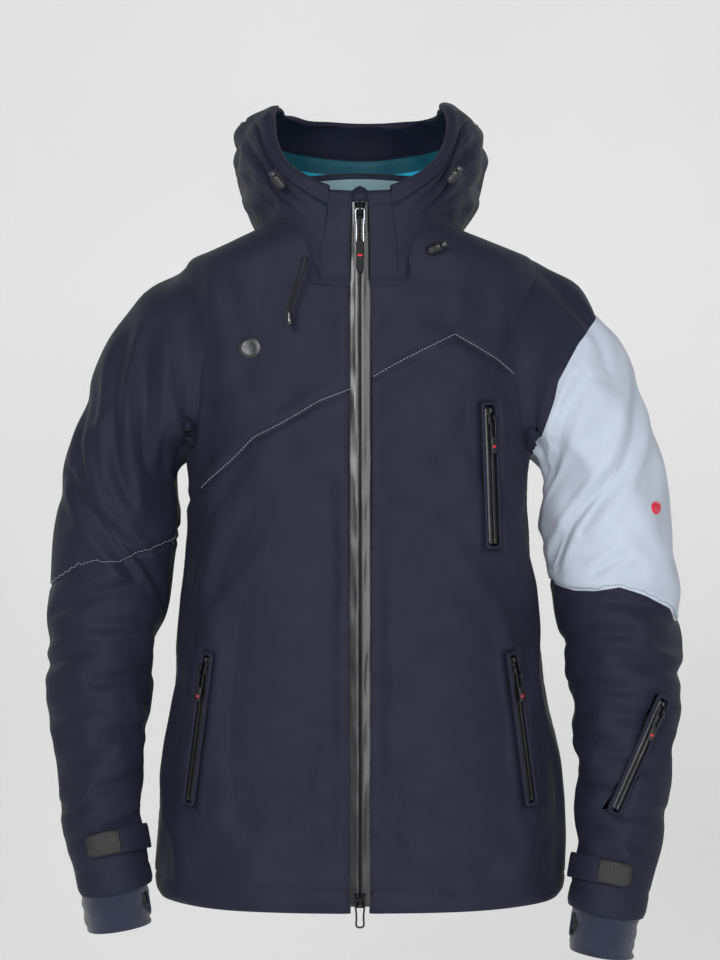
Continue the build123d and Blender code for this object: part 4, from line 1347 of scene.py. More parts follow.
def build_collar():
    columns = 260
    share = np.concatenate([np.linspace(0, 1, 44), np.linspace(1, 1.2, 13)[1:], np.linspace(1.2, 2, 35)[1:]])
    rows = len(share)
    edge = math.asin(ZIP_EDGE / 94.0)
    direction = -math.pi / 2 - edge - np.linspace(0, 1, columns) * (2 * math.pi - 2 * edge)
    s, d = np.meshgrid(share, direction, indexing="ij")
    points = collar_path(d, s)
    x, y = points[..., 0], points[..., 1]
    outside = s <= 1.1
    front = (y < -40)
    seam_x = np.where(x < 0, -42.0, 48.0)
    panel = front & (np.abs(x) < np.abs(seam_x))
    bulge = np.where(panel & outside, 3.5 * soft_step(np.abs(seam_x) - np.abs(x), 0.0, 3.0), 0.0)
    bulge *= soft_step(s, 0.0, 0.12)
    bulge -= 1.4 * np.exp(-((np.abs(x) - ZIP_EDGE) / 2.5) ** 2) * front
    bulge += 0.8 * waves(points * [1, 1, 0.6], 34.0, 12) * soft_step(s, 0.05, 0.3)
    bulge -= 1.2 * np.exp(-((s - 0.9) / 0.02) ** 2)
    out = points - np.array([0, -14, 0])
    out[..., 2] = 0
    out /= np.linalg.norm(out, axis=-1, keepdims=True)
    bulge *= np.where(s < 1.2, 1, -1) * (1 - over_share(s))
    points = points + out * bulge[..., None]
    normals = turn_normals(grid_normals(points, False), 10, columns // 2, out[10, columns // 2])
    faces = turn_faces(grid_faces(rows, columns, False), points, 10, columns // 2, normals[10, columns // 2])
    centre = points.reshape(-1, 3)[faces].mean(-2)
    level = (share[:-1] + share[1:])[:, None] / 2 + 0 * centre[..., 0]
    front_panel = (centre[..., 1] < -40) & (np.abs(centre[..., 0]) < np.where(centre[..., 0] < 0, 42.0, 48.0))
    inside = level > 1.24
    for name, chosen, material, replaced in (
        ("collar_front_right_cloth", front_panel & ~inside & (centre[..., 0] < 0), "shell_fabric",
         ["collar_front_right"]),
        ("collar_front_left_cloth", front_panel & ~inside & (centre[..., 0] > 0), "shell_fabric",
         ["collar_front_left"]),
        ("collar_band_cloth", ~front_panel & ~inside, "shell_fabric", ["collar_band"]),
        ("collar_lining_cloth", inside, "collar_fabric", ["collar_lining"]),
    ):
        piece = cut_from_grid(name, points, normals, faces[chosen], 1.6)
        finish_piece(piece, material, "torso", replaced, padded=0.4)


build_collar()

# ---- hood ---------------------------------------------------------------------------


def hood_section(z, grow=0.0):
    half_width, front, back = between(HOOD, z)
    return half_width + grow, (front + back) / 2, (back - front) / 2 + grow


HOOD_RIM = [  # degrees round from the front, height of the opening's edge
    (0, 700), (14, 704), (24, 710), (31, 722), (37, 742), (41, 767), (46, 794), (54, 806), (90, 811),
    (135, 810), (180, 808),
]
HOOD_END = math.radians(20)


def hood_column(direction, away, rows_out, rows_in):
    """The hood's path at one direction: up the outside, and from the rim down the inside to the collar."""
    rim = float(np.interp(math.degrees(away), *np.array(HOOD_RIM).T))
    rear = (1 - math.cos(away)) / 2
    seam = SEAM_FRONT_Z + (SEAM_BACK_Z - SEAM_FRONT_Z) * rear
    floor = 566 if away > 1.1 else seam + 6
    heights = np.concatenate([np.linspace(566, 576, 40), np.linspace(576, rim, 240)[1:]])
    turn = np.full(heights.shape, direction)
    tuck = 1 - soft_step(away, HOOD_END, HOOD_END + 0.28)

    def wall(inward):
        hood = np.stack(ring_point(turn, *hood_section(heights, -inward)), -1)
        collar = np.stack(ring_point(turn, *collar_section(heights, 5.5 - inward)), -1)
        return np.column_stack([hood + (collar - hood) * tuck, heights])

    outside = wall(0.0)
    clear = (torso_inside(outside) > 1.01) & (heights >= floor)
    outside = outside[int(np.argmax(clear)):]
    inside = wall(3.0 + 8.0 * (1 - tuck))
    clear = (torso_inside(inside) > 1.06) & (heights >= max(floor + 8, 645 if away > 1.1 else 0))
    inside = inside[::-1][:int(np.argmin(np.append(clear[::-1], False)))]
    low = np.linspace(seam + 8, 745, 60)
    ring = np.column_stack([np.stack(ring_point(np.full(60, direction), *collar_section(low, 1.0)), -1), low])
    foot = ring[int(np.argmax(torso_inside(ring) > 1.06))]
    trough = (inside[-1] + foot) / 2 - np.array([0, 0, 4.0 * (1 - tuck)])
    inside = resample(np.concatenate([inside, [trough, foot]]), rows_in)
    for _ in range(4):
        inside[1:-1] = (inside[:-2] + 2 * inside[1:-1] + inside[2:]) / 4
    return resample(outside, rows_out), inside


def hood_columns(columns, rows_out, rows_in):
    """Columns round the hood from its right front end, by the back, to its left one, even along its rim."""
    fine = np.linspace(HOOD_END, 2 * math.pi - HOOD_END, 1441)
    away = np.minimum(fine, 2 * math.pi - fine)
    rim = np.interp(np.degrees(away), *np.array(HOOD_RIM).T)
    x, y = ring_point(-math.pi / 2 - fine, *hood_section(rim))
    step = np.linalg.norm(np.diff(np.stack([x, y, rim], -1), axis=0), axis=1) + 40 * np.diff(fine)
    travelled = np.concatenate([[0], np.cumsum(step)])
    chosen = np.interp(np.linspace(0, travelled[-1], columns), travelled, fine)
    away = np.minimum(chosen, 2 * math.pi - chosen)
    paths = [hood_column(-math.pi / 2 - turn, far, rows_out, rows_in) for turn, far in zip(chosen, away)]
    outside, inside = (np.stack(grid, 1) for grid in zip(*paths))
    return outside, inside, soft_step(away, HOOD_END + 0.05, HOOD_END + 0.5)


def smooth_columns(grid, rounds):
    for _ in range(rounds):
        inner = (grid[:, :-2] + 2 * grid[:, 1:-1] + grid[:, 2:]) / 4
        grid = np.concatenate([grid[:, :1], inner, grid[:, -1:]], 1)
    return grid


HOOD_CREASES = [  # (round, up, round, up, width, depth) in mm, of 620 round and 200 up
    (30, 60, 120, 120, 12, 7.0), (20, 110, 90, 165, 11, 6.0), (70, 40, 170, 70, 13, 7.0),
    (130, 110, 210, 150, 13, 6.0), (590, 60, 500, 120, 12, 7.0), (600, 110, 530, 165, 11, 6.0),
    (550, 40, 450, 70, 13, 7.0), (490, 110, 410, 150, 13, 5.0), (200, 60, 330, 40, 15, 6.0),
    (420, 70, 300, 90, 15, 6.0), (240, 140, 380, 130, 14, 5.0),
]


def build_hood():
    columns, rows_out, rows_in = 180, 56, 60
    outside, inside, full = hood_columns(columns, rows_out, rows_in)
    outside, inside = smooth_columns(outside, 9), smooth_columns(inside, 9)
    ahead = outside[-1] - outside[-3]
    ahead /= np.linalg.norm(ahead, axis=-1, keepdims=True)
    cap = []
    middle, half = (outside[-1] + inside[0]) / 2, (outside[-1] - inside[0]) / 2
    for step in np.linspace(0, math.pi, 9)[1:-1]:
        cap.append(middle + half * math.cos(step) + ahead * 5.5 * math.sin(step))
    whole = np.concatenate([outside, np.array(cap), inside], 0)
    rows = len(whole)
    normals = grid_normals(whole, False)
    towards = whole[10] - np.array([0, 20, 0])
    towards[:, 2] = 0
    if np.sum(normals[10] * towards) < 0:
        normals = -normals
    around = np.linspace(0, 620, columns)[None, :] + np.zeros((rows, 1))
    along = np.linspace(0, 200 * rows / rows_out, rows)[:, None] + np.zeros((1, columns))
    folds = crease_depth(around, along, HOOD_CREASES)
    press = folds + 1.6 * waves(whole, 60.0, 77)
    press *= soft_step(along, 4, 30)
    inner_part = np.arange(rows)[:, None] > rows_out + 6
    press = np.where(inner_part, 1.6 * waves(whole * [1, 1, 0.7], 48.0, 78), press * 0.8)
    press -= 2.0 * np.exp(-((np.arange(rows)[:, None] - rows_out - 3) / 5.0) ** 2)
    press *= 0.15 + 0.85 * full
    base = whole - normals * press[..., None]
    shift = np.zeros_like(base)
    pin = np.zeros((rows, columns))
    pin[:2] = pin[-3:] = 1.0
    pin[:, :3] = pin[:, -3:] = 1.0
    pin = np.maximum(pin, 0.8 * soft_step(folds, 3.5, 5.5) * ~inner_part)
    shift = relax(base, False, pin, 0.012, 0.4, 2.5, 14, bending=4.0)
    points = base + shift * (0.15 + 0.85 * full)[None, :, None]
    sunk = -np.sum((points - whole) * normals, -1)
    most = np.where(inner_part, 0.5 + 2 * full, 1.0 + 4 * full)
    points = points + normals * np.maximum(sunk - most, 0)[..., None]
    rows2, columns2 = 2 * rows - 1, 2 * columns - 1
    v, u = np.meshgrid(np.linspace(0, 1, rows2), np.linspace(0, 1, columns2), indexing="ij")
    points = sample(points, u, v, False)
    smooth_normals = sample(normals, u, v, False)
    x = points[..., 0]
    seam = np.minimum(np.abs(np.abs(x) - 46) + 99 * (points[..., 1] < 0), 99)
    brim_line = 2 * rows_out - 22
    row_index = np.arange(rows2)[:, None] + 0 * x
    dip = 1.8 * np.exp(-(seam / 3.2) ** 2) * (row_index < 2 * rows_out)
    dip += 1.8 * np.exp(-((row_index - brim_line) / 1.6) ** 2)
    facing_end = 2 * rows_out + 30
    dip += 1.2 * np.exp(-((row_index - facing_end) / 1.4) ** 2)
    points = points - smooth_normals * dip[..., None]
    normals = grid_normals(points, False)
    if np.sum(normals[20] * smooth_normals[20]) < 0:
        normals = -normals
    heart = columns2 // 2
    faces = turn_faces(grid_faces(rows2, columns2, False), points, 20, heart, normals[20, heart])
    centre = points.reshape(-1, 3)[faces].mean(-2)
    row = np.arange(rows2 - 1)[:, None] + 0 * centre[..., 0]
    band_end = facing_end + 7
    outer = row < brim_line
    middle = (np.abs(centre[..., 0]) < 46) & (centre[..., 1] > 0)
    side, left = outer & ~middle, centre[..., 0] > 0
    parts = (
        ("hood_centre_cloth", outer & middle, "shell_fabric", ["hood_centre"], 1.4),
        ("hood_side_cloth_left", side & left, "shell_fabric", ["hood_side_left"], 1.4),
        ("hood_side_cloth_right", side & ~left, "shell_fabric", ["hood_side_right"], 1.4),
        ("hood_brim_cloth", (row >= brim_line) & (row < facing_end), "shell_fabric", ["hood_brim"], 1.4),
        ("hood_band_cloth", (row >= facing_end) & (row < band_end), "band_fabric", [], 1.2),
        ("hood_lining_cloth", row >= band_end, "lining_fabric", ["hood_lining"], 1.2),
    )
    for name, chosen, material, replaced, wall in parts:
        piece = cut_from_grid(name, points, normals, faces[chosen], wall)
        finish_piece(piece, material, "torso", replaced, padded=0.4)
    line, way = points[brim_line - 3], normals[brim_line - 3]
    stitches("brim_stitches", [(line + way * 0.3, way)], "tonal_thread", "torso")


build_hood()

# ---- main zip -----------------------------------------------------------------------
def swept(name, plane, profile, length, material, body, replaces=(), ripple=0.0, seed=1, start=0.0):
    """A strip with a given cross-section of (u, w) points, drawn up a zip's plane."""
    steps = max(int((length - start) / 2.5), 8)
    v = np.linspace(start, length, steps)
    profile = np.array(profile, float)
    grid_u = profile[:, 0][None, :] + 0 * v[:, None]
    grid_w = profile[:, 1][None, :] + 0 * v[:, None]
    points = plane.at(grid_u, v[:, None] + 0 * grid_u, grid_w)
    top = grid_w > np.median(profile[:, 1])
    points = points + plane.out * (ripple * waves(points * [3.0, 1, 1], 42.0, seed) * top)[..., None]
    made = mesh_object(name, points.reshape(-1, 3), capped_faces(steps, len(profile)))
    mesh_clean(made)
    return finish_piece(made, material, body, replaces)


def zip_teeth(name, plane, length, half, body, material, pitch=2.2, w=0.1):
    """A row of small moulded teeth each side of the slit."""
    points, faces = [], []
    for v in np.arange(1.5, length - 1.5, pitch):
        for way in (1, -1):
            base = len(points)
            low, high = (0.25, half) if way > 0 else (-half, -0.25)
            height = v + (pitch / 2 if way > 0 else 0)
            for u in (low, high):
                for dv, dw in ((-0.7, -0.5), (0.7, -0.5), (0.45, 0.35), (-0.45, 0.35)):
                    points.append(plane.at(u, height + dv, w + dw))
            faces += [[base, base + 1, base + 2, base + 3], [base + 7, base + 6, base + 5, base + 4]]
            faces += [[base + i, base + 4 + i, base + 4 + (i + 1) % 4, base + (i + 1) % 4] for i in range(4)]
    made = mesh_object(name, np.array(points), faces, smooth=False)
    mesh_clean(made)
    return finish_piece(made, material, body)


for sign, side in ((1, "left"), (-1, "right")):
    lip = [(0.35, -1.2), (0.5, 0.1), (1.6, 0.75), (3.4, 0.9), (5.0, 0.35), (6.6, 0.0), (9.0, -0.5),
           (12.5, -1.2), (12.5, -2.2), (6.0, -2.2)]
    swept("main_zip_tape_" + side, MAIN, [(sign * u, w) for u, w in lip], MAIN.length, "coated_tape", "torso",
          ["main_zip_chain"] if sign > 0 else (), 0.35, 40 + sign)
zip_teeth("main_zip_teeth", MAIN, MAIN.length, 1.5, "torso", "zip_metal", w=0.15)
FLAP_LENGTH = MAIN.length - 95
FLAP_HALF = 22.0
FLAP_PROFILE = [(-FLAP_HALF, -9.4), (-10, -9.0), (10, -9.0), (FLAP_HALF, -9.4), (FLAP_HALF, -11.2),
                (-FLAP_HALF, -11.2)]
storm_flap = swept("storm_flap_cloth", MAIN, FLAP_PROFILE, FLAP_LENGTH, "inner_fabric", "torso",
                   ["storm_flap"], 0.6, 44)


def garage():
    """The folded fabric triangle over the zip's top."""
    half = [(0, 12.5), (-5, 10), (-11, 4), (-11, -3)]
    outline = [(-u, v) for u, v in half[:0:-1]] + half
    made = rounded_plate("zip_garage_cloth", MAIN, [(u, MAIN.length + v) for u, v in outline], 0.2, 2.6, 0.8)
    return finish_piece(made, "shell_fabric", "torso", ["zip_garage"])


garage()

# ---- pocket zips --------------------------------------------------------------------
def ring_frame(name, plane, length, half, lip, body, replaces):
    """A laminated welt: a rounded frame round the zip's slot."""
    def outline(grow, w):
        corner = 3.0 + max(grow, 0)
        points = []
        half_u, low, high = half + grow, -8 - grow, length + 8 + grow
        for cu, cv, start in ((half_u - corner, high - corner, 0), (-half_u + corner, high - corner, 90),
                              (-half_u + corner, low + corner, 180), (half_u - corner, low + corner, 270)):
            for step in range(7):
                turn = math.radians(start + step * 15)
                points.append(plane.at(cu + corner * math.cos(turn), cv + corner * math.sin(turn), w))
        return points

    section = ((1.0, -2.0), (1.0, 0.7), (0.4, 1.5), (-0.6, 1.9), (-lip + 0.8, 1.7), (-lip, 1.2), (-lip, -2.6))
    rings = [outline(grow, w) for grow, w in section]
    count = len(rings[0])
    points = np.array(rings).reshape(-1, 3)
    faces = grid_faces(len(rings), count, True).reshape(-1, 4).tolist()
    last = (len(rings) - 1) * count
    faces += [[i, last + i, last + (i + 1) % count, (i + 1) % count] for i in range(count)]
    made = mesh_object(name, points, faces)
    mesh_clean(made)
    return finish_piece(made, "shell_fabric", body, replaces)


for name, (plane, length, half) in POCKETS.items():
    body = "forearm_left" if name == "sleeve" else "torso"
    replaced = {"chest": ["chest_pocket_zip"], "hand_left": ["hand_pocket_zips"], "hand_right": [],
                "sleeve": ["sleeve_pocket_zip"]}[name]
    ring_frame(name + "_pocket_welt", plane, length, half, 2.4, body, replaced)
    edge = half - 2.0
    for sign, side in ((1, "a"), (-1, "b")):
        lip = [(0.3, -1.4), (0.4, -0.4), (1.3, 0.1), (2.6, 0.15), (edge, -0.4), (edge, -1.9), (0.3, -1.9)]
        profile = [(sign * u, w) for u, w in lip]
        swept(f"{name}_pocket_tape_{side}", plane, profile, length + 4, "coated_tape", body, (), 0.08,
              60 + sign, start=-4.0)
    zip_teeth(name + "_pocket_teeth", plane, length, 1.3, body, "zip_metal", 2.0, -0.2)

# ---- sliders and pullers ------------------------------------------------------------
PULL_UNITS = {  # plane, slider's top, slider half width, slider height, puller length, tag length
    "main_upper": (MAIN, MAIN.length - 4.0, 6.0, 16.0, 34.0, 30.0),
    "main_lower": (MAIN, 13.0, 6.0, 14.0, 26.0, 6.0),
    "chest": (CHEST, 127.0, 4.6, 11.0, 22.0, 14.0),
    "hand_left": (HANDS["left"], 134.0, 4.2, 11.0, 22.0, 12.0),
    "hand_right": (HANDS["right"], 134.0, 4.2, 11.0, 22.0, 12.0),
    "sleeve": (FOREARM, FOREARM.length - 2.0, 4.0, 10.0, 20.0, 12.0),
}
HINGE_W = 5.0


def slider(name, plane, top, half, height):
    """A cast slider: waisted front and rear plates, a web and an arch for the pin."""
    outline = []
    for share in np.linspace(0, 1, 9):
        width = half * (1.0 - 0.22 * math.sin(share * math.pi) - 0.12 * share)
        outline.append((width, top - height * share))
    outline += [(-u, v) for u, v in outline[::-1]]
    front = rounded_plate("part", plane, outline, 0.6, 2.6, 0.6)
    rear = rounded_plate("part", plane, outline, -4.6, -3.2, 0.4)
    strip = [(-0.16, top - height), (0.16, top - height), (0.16, top), (-0.16, top)]
    web = rounded_plate("part", plane, strip, -3.4, 0.8, 0.03)
    turn = np.linspace(0, math.pi, 13)
    reach = height * 0.36
    path = [plane.at(0, top - height * 0.45 - reach * math.cos(t), 2.2 + (HINGE_W + 0.4) * math.sin(t) * 0.98)
            for t in turn]
    arch = tube_mesh("part", np.array(path), 1.15, 10)
    return join([front, rear, web, arch], name)


def wire_loop(name, plane, top, half, length, radius):
    """A puller's wire loop from its pin, narrowing a little to a rounded foot."""
    points = []
    for side in (1, -1):
        run = [(half, 0.0), (half, -0.25), (half * 0.82, -0.5), (half * 0.8, -0.75), (half * 0.95, -0.92),
               (half * 0.6, -1.0)]
        run = [(side * u, top + v * length) for u, v in run]
        points += run if side > 0 else run[::-1]
    points.append(points[0])
    path = np.array([plane.at(u, v, HINGE_W) for u, v in points])
    smooth = resample(path, 60)
    for _ in range(3):
        smooth[1:-1] = (smooth[:-2] + 2 * smooth[1:-1] + smooth[2:]) / 4
    loop = tube_mesh("part", smooth, radius, 10)
    pin = tube_mesh("part", [plane.at(u, top, HINGE_W) for u in np.linspace(-half, half, 5)], 0.9, 10)
    return join([loop, pin], name)


def strap(name, plane, top, half, length, thick):
    """A woven or moulded tag, slightly bowed, its end rounded."""
    rows, columns = 22, 9
    a, b = np.meshgrid(np.linspace(0, 1, rows), np.linspace(-1, 1, columns), indexing="ij")
    end = np.sqrt(np.clip(1 - np.clip((a - 0.85) / 0.15, 0, 1) ** 2 * 0.9, 0.1, 1))
    bow = 0.7 * np.sin(a * math.pi)
    u, v = b * half * end, top - a * length
    crown = thick * (0.6 + 0.4 * (1 - b ** 4))
    upper = plane.at(u, v, HINGE_W + bow + crown / 2)
    under = plane.at(u, v, HINGE_W + bow - crown / 2)
    every = closed_faces(grid_faces(rows, columns, False).reshape(-1, 4), rows * columns)[0]
    made = mesh_object(name, np.concatenate([upper.reshape(-1, 3), under.reshape(-1, 3)]), every)
    mesh_clean(made)
    return made


for name, (plane, top, half, height, length, tag) in PULL_UNITS.items():
    main = name.startswith("main")
    piece = slider(name + "_slider_cast", plane, top, half, height)
    finish_piece(piece, "zip_metal", name + "_slider", [name + "_slider"])
    pin = top - height * 0.45
    half_loop = max(half * 0.72, 3.4)
    loop = wire_loop(name + "_puller_loop", plane, pin, half_loop, length, 0.95)
    metal_name = "bright_metal" if name == "main_upper" else "zip_metal"
    finish_piece(loop, metal_name, name + "_puller", [name + "_puller"])
    if tag > 8:
        tag_length = tag + (2 if main else 3)
        low = strap(name + "_puller_tag", plane, pin - length + 3, half_loop - 0.3, tag_length, 1.8)
        finish_piece(low, "webbing" if main else "trim_plastic", name + "_puller")
        mark = strap(name + "_puller_mark", plane, pin - length - tag * 0.35, half_loop - 1.4, 4.0, 2.3)
        finish_piece(mark, "accent", name + "_puller")

# ---- cord locks, drawcord, badges ---------------------------------------------------
def turned(name, heart, way, profile, sides=28):
    """A turned shape about an axis, from (radius, height) points."""
    way = np.asarray(way, float) / np.linalg.norm(way)
    side = np.cross(way, [0.2, 0.9, 0.1])
    side /= np.linalg.norm(side)
    up = np.cross(way, side)
    turn = np.linspace(0, 2 * math.pi, sides, endpoint=False)
    rings = []
    for radius, height in profile:
        rings.append(np.asarray(heart, float) + way * height + radius * (
            np.cos(turn)[:, None] * side + np.sin(turn)[:, None] * up))
    made = mesh_object(name, np.array(rings).reshape(-1, 3), capped_faces(len(profile), sides))
    mesh_clean(made)
    return made


# Each cord lock's middle and the way its button points.
LOCKS = {
    "hood_right": ((-80, -112, 716), (-0.62, -0.2, 0.75)),
    "hood_left": ((92, -106, 722), (0.62, -0.2, 0.75)),
    "collar_left": ((74, -112, 650), (0.85, -0.35, 0.35)),
}
# Turned outlines: (radius, height).
BARREL = [
    (0.5, -7.6), (3.6, -7.6), (4.8, -6.6), (5.1, -3.0), (4.7, -1.2), (5.0, 1.0), (5.1, 4.5), (4.7, 6.8),
    (4.0, 7.5), (3.5, 7.5), (3.5, 4.0), (0.5, 4.0),
]
BUTTON = [(0.5, 3.2), (3.1, 3.2), (3.1, 9.5), (3.2, 11.4), (2.7, 12.2), (1.6, 12.5), (0.4, 12.55)]
for name, (heart, way) in LOCKS.items():
    barrel = turned("cord_lock_" + name, heart, way, BARREL)
    finish_piece(barrel, "trim_plastic", "torso", ["cord_lock_barrels"] if name == "hood_right" else ())
    button = turned("plunger_button_" + name, heart, way, BUTTON)
    finish_piece(button, "glossy_plastic", "plunger_" + name, ["plunger_" + name])

DRAWCORD = 2.4
DRAWCORD_ROUTES = {
    "front": [
        (-57, -125, 640), (-59, -128, 630), (-63, -127.5, 615), (-68, -126.5, 600), (-71, -126, 588.4),
    ],
    "rear": [
        (-51, -125, 641), (-53, -128, 632), (-59, -128.5, 618), (-64.8, -127.5, 602), (-68, -126, 588.4),
    ],
}


def cord_curve(name, route, diameter):
    curve = bpy.data.curves.new(name, "CURVE")
    curve.dimensions = "3D"
    curve.bevel_depth = diameter / 2000
    curve.bevel_resolution = 4
    spline = curve.splines.new("NURBS")
    spline.points.add(len(route) - 1)
    for point, at in zip(spline.points, to_frame(route)):
        point.co = (*at, 1.0)
    spline.order_u = 3
    spline.use_endpoint_u = True
    spline.resolution_u = 12
    curve.use_fill_caps = True
    made = bpy.data.objects.new(name, curve)
    scene.collection.objects.link(made)
    return made


END_PROFILE = [
    (0.6, -7.9), (2.6, -7.7), (3.7, -6.2), (4.0, -3.6), (3.4, 0.0), (2.6, 4.0), (2.3, 7.2), (1.9, 7.8),
    (0.6, 7.9),
]
cord_end = turned("drawcord_end_moulded", (-69.5, -126, 580.6), (0, 0, 1), END_PROFILE)
finish_piece(cord_end, "glossy_plastic", "torso", ["drawcord_end"])
for name, route in DRAWCORD_ROUTES.items():
    cord = cord_curve("collar_drawcord_" + name + "_cord", route, DRAWCORD)
    finish_piece(cord, "cord", "torso", ["collar_drawcord_" + name])
    steps = np.linalg.norm(np.diff(np.array(route), axis=0), axis=1)
    tuple(to_frame(route[0]))


BADGE_SIDES = 40


def badge(name, x, z, surface, radius, material, body, replaces):
    """A plain moulded disc with a raised ring, lying on the cloth."""
    rings = [(0.05, 0.9), (0.45, 0.95), (0.62, 1.35), (0.72, 1.35), (0.78, 0.95), (0.92, 0.95), (1.0, 0.5),
             (1.0, -1.2)]
    points = []
    for share, w in rings:
        for turn in np.linspace(0, 2 * math.pi, BADGE_SIDES, endpoint=False):
            out = radius * share
            points.append(surface(x + out * math.cos(turn), z + out * math.sin(turn), w))
    made = mesh_object(name, np.array(points), capped_faces(len(rings), BADGE_SIDES))
    mesh_clean(made)
    return finish_piece(made, material, body, replaces)


def on_chest(x, z, w):
    point, normal = trunk_line([(x, z)])
    return point[0] + normal[0] * w


def on_left_sleeve(x, z, w):
    points, normals, rest, _ = SLEEVES["left"]
    front = rest[..., 1] < -20
    point, normal = cloth_point(points[front], normals[front], rest[front], x, z)
    return point + normal * w


badge("chest_badge_moulded", -110, 553, on_chest, 11.0, "badge", "torso", ["chest_badge"])
badge("sleeve_badge_moulded", 300, 393, on_left_sleeve, 6.5, "badge_red", "upper_arm_left", ["sleeve_badge"])

# ---- inside: linings, facing, pocket bags, hanger loop ------------------------------
def torso_layer(name, low, high, depth, wall, material, replaces, seed, gap_half, ripple=1.2):
    """A closed layer inside the trunk's wall between two heights, open at the centre front."""
    rows, columns = max(int((high - low) / 9), 4), 150
    v, u = np.meshgrid(np.linspace(low, high, rows), np.linspace(0, 1, columns), indexing="ij")
    edge = math.asin(gap_half / 190.0)
    direction = -math.pi / 2 - edge - u * (2 * math.pi - 2 * edge)
    points = torso_point(direction, v, -depth)
    normals = turn_normals(grid_normals(points, False), rows // 2, columns // 2, BACKWARD)
    points = points + normals * (ripple * (waves(points * [1, 1, 0.5], 70.0, seed) - 1.0))[..., None]
    faces = turn_faces(grid_faces(rows, columns, False), points, 0, columns // 2, BACKWARD)
    centre = points.reshape(-1, 3)[faces].mean(-2)
    armhole = ((centre[..., 1] - 5) / 74) ** 2 + ((centre[..., 2] - 528) / 104) ** 2 < 1
    armhole &= np.abs(centre[..., 0]) > 80
    neck = (centre[..., 2] > 600) & (torso_neck(centre) < 1.0)
    piece = cut_from_grid(name, points, normals, faces[~armhole & ~neck], wall)
    return finish_piece(piece, material, "torso", replaces)


def torso_neck(points):
    half_width, middle, half_depth = collar_section(points[..., 2], -6.0)
    return (np.abs(points[..., 0] / half_width) ** ROUNDNESS
            + np.abs((points[..., 1] - middle) / half_depth) ** ROUNDNESS)


LINING_LOW, LINING_HIGH = 22.0, 688.0
lining = torso_layer("torso_lining_cloth", LINING_LOW, LINING_HIGH, 13.5, 1.2, "inner_fabric",
                     ["torso_lining"], 91, 24.0)
torso_layer("hem_facing_cloth", 2, 27, 7.5, 2.2, "shell_fabric", ["hem_facing"], 92, 26.0, 0.3)


def pocket_bag(name, low, high, material, replaces):
    """A flat bag inside the trunk's front wall, slightly puckered."""
    across, up = (np.linspace(start, end, 24) for start, end in zip(low, high))
    z, x = np.meshgrid(up, across, indexing="ij")
    half_width, middle, half_depth = torso_section(z, -8.9)
    y = middle - half_depth * (1 - np.abs(x / half_width) ** ROUNDNESS) ** (1 / ROUNDNESS)
    points = np.stack([x, y, z], -1)
    normals = turn_normals(grid_normals(points, False), 12, 12, FORWARD)
    points = points - normals * (0.3 + 0.3 * waves(points, 30.0, 7))[..., None]
    faces = turn_faces(grid_faces(24, 24, False), points, 12, 12, FORWARD)
    piece = cut_from_grid(name, points, normals, faces.reshape(-1, 4), 3.0)
    return finish_piece(piece, material, "torso", replaces)


pocket_bag("chest_pocket_bag_cloth", (60, 350), (144, 496), "inner_fabric", ["chest_pocket_bag"])
for side, sign in SIDES.items():
    low, high = sorted((sign * 40, sign * 172))
    pocket_bag("hand_pocket_bag_cloth_" + side, (low, 70), (high, 262), "inner_fabric",
               ["hand_pocket_bags"] if side == "left" else ())


def sleeve_bag():
    """The sleeve pocket's bag, inside the front of the forearm's wall."""
    rows, columns = 20, 24
    v, u = np.meshgrid(np.linspace(0, 1, rows), np.linspace(0.60, 0.90, columns), indexing="ij")
    z = 186 - v * 90
    key = np.interp(z, np.array(SLEEVE)[::-1, 2], SLEEVE_KEYS[::-1])
    points = sleeve_at("left", u * 2 * math.pi, key, -8.6)
    normals = turn_normals(grid_normals(points, False), 10, 12, FORWARD)
    faces = turn_faces(grid_faces(rows, columns, False), points, 10, 12, FORWARD)
    piece = cut_from_grid("sleeve_pocket_bag_cloth", points, normals, faces.reshape(-1, 4), 2.0)
    return finish_piece(piece, "inner_fabric", "forearm_left", ["sleeve_pocket_bag"])


sleeve_bag()


def hanger():
    """A woven strap sewn at both ends, its middle standing off the collar."""
    low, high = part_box("hanger_loop")
    stand = (high.y - low.y) * 1000
    half = (high.x - low.x) * 500
    middle_y, top = (np.array([0, low.y, high.z]) * 1000 - SHIFT)[1:]
    a = np.linspace(-1, 1, 33)
    path = np.stack([a * half, middle_y + stand * a ** 2, top - 3.5 + 0 * a], -1)
    ring = []
    for point, share in zip(path, a):
        out = np.array([2 * share * stand / half, -1.0, 0])
        out /= np.linalg.norm(out)
        for w, h in ((0.8, -3.5), (0.8, 3.5), (-0.8, 3.5), (-0.8, -3.5)):
            ring.append(point + out * (w - 0.8) + np.array([0, 0, h]))
    made = mesh_object("hanger_loop_strap", np.array(ring), capped_faces(len(a), 4))
    mesh_clean(made)
    bevel_piece(made, 0.0003, 2)
    return finish_piece(made, "webbing", "torso", ["hanger_loop"])


hanger()

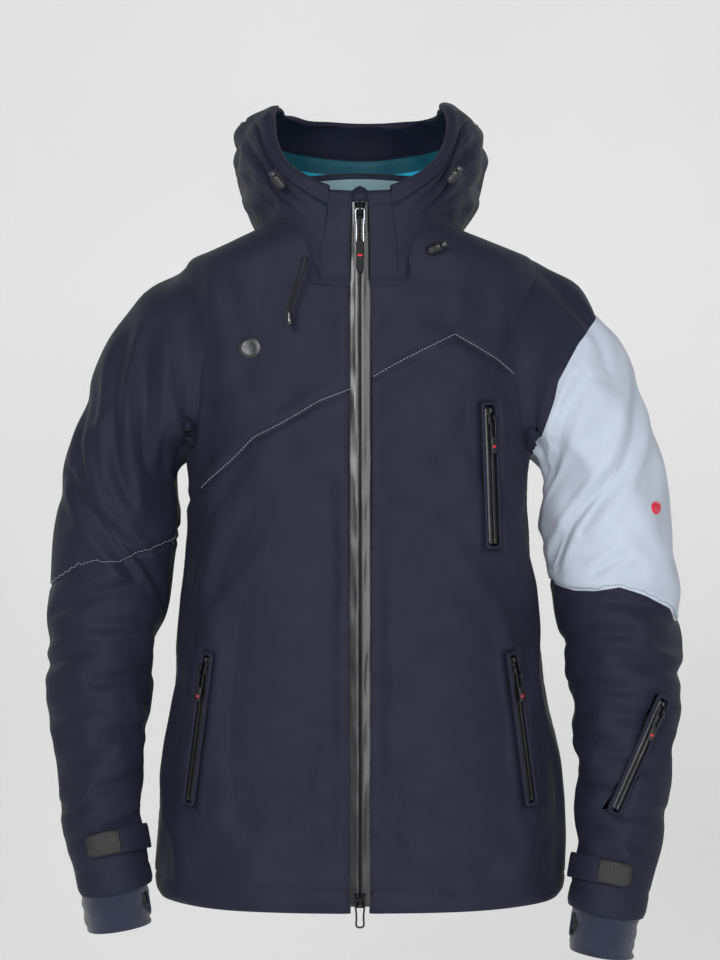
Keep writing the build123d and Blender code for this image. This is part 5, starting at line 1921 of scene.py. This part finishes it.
# ---- floor, light and camera --------------------------------------------------------
def backdrop():
    """A plain pale floor that curves up into a wall behind."""
    low = float(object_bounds()[0].z) - 0.55
    profile = [(-6.0, low), (2.2, low)]
    for step in range(1, 13):
        turn = math.radians(step * 7.5)
        profile.append((2.2 + 1.4 * math.sin(turn), low + 1.4 * (1 - math.cos(turn))))
    profile.append((3.6, low + 6.0))
    points = [(x, y, z) for x in (-8.0, 8.0) for y, z in profile]
    count = len(profile)
    faces = [[i, i + 1, count + i + 1, count + i] for i in range(count - 1)]
    mesh = bpy.data.meshes.new("backdrop")
    mesh.from_pydata(points, [], faces)
    mesh.shade_smooth()
    made = bpy.data.objects.new("backdrop", mesh)
    scene.collection.objects.link(made)
    s = Surface("backdrop", 0.9, specular=0.1)
    s.ramp(s.noise(2.0, 2.0), [(0.3, linear(224, 224, 224)), (0.7, linear(228, 228, 228))], "Base Color")
    s.shader.inputs["Emission Color"].default_value = (1, 1, 1, 1)
    s.shader.inputs["Emission Strength"].default_value = 0.28
    mesh.materials.append(s.material)
    made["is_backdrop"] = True


def area_light(name, spot, size, power):
    """A white square light that faces the jacket's middle; its size in metres and power in watts."""
    data = bpy.data.lights.new(name, "AREA")
    data.energy, data.size = power, size
    light = bpy.data.objects.new(name, data)
    scene.collection.objects.link(light)
    light.location = spot
    light.rotation_euler = (CENTRE - Vector(spot)).to_track_quat("-Z", "Y").to_euler()


backdrop()
CENTRE = place((0, 0, 421))
area_light("key", (-0.8, -2.9, 0.6), 1.1, 60)
area_light("fill", (1.1, -2.9, 0.0), 1.3, 38)
area_light("top", (0.0, -0.6, 2.2), 1.4, 2)
area_light("rim_left", (-2.0, 1.2, 0.6), 1.0, 5)
area_light("rim_right", (2.0, 1.2, 0.6), 1.0, 5)
world = bpy.data.worlds.new("studio")
world.use_nodes = True
world.node_tree.nodes["Background"].inputs["Color"].default_value = (1.0, 1.0, 1.0, 1.0)
world.node_tree.nodes["Background"].inputs["Strength"].default_value = 0.27
scene.world = world
scene.view_settings.view_transform = "Standard"

CAMERA_DISTANCE = 2.3
VIEW_HEIGHT = 0.9984
camera_data = bpy.data.cameras.new("camera")
camera_data.sensor_width = 36.0
camera_data.lens = 36.0 * CAMERA_DISTANCE / VIEW_HEIGHT
camera = bpy.data.objects.new("camera", camera_data)
scene.collection.objects.link(camera)
camera.location = CENTRE + Vector((0.0, -CAMERA_DISTANCE, 0.0))
camera.rotation_euler = (math.radians(90), 0, 0)
scene.camera = camera
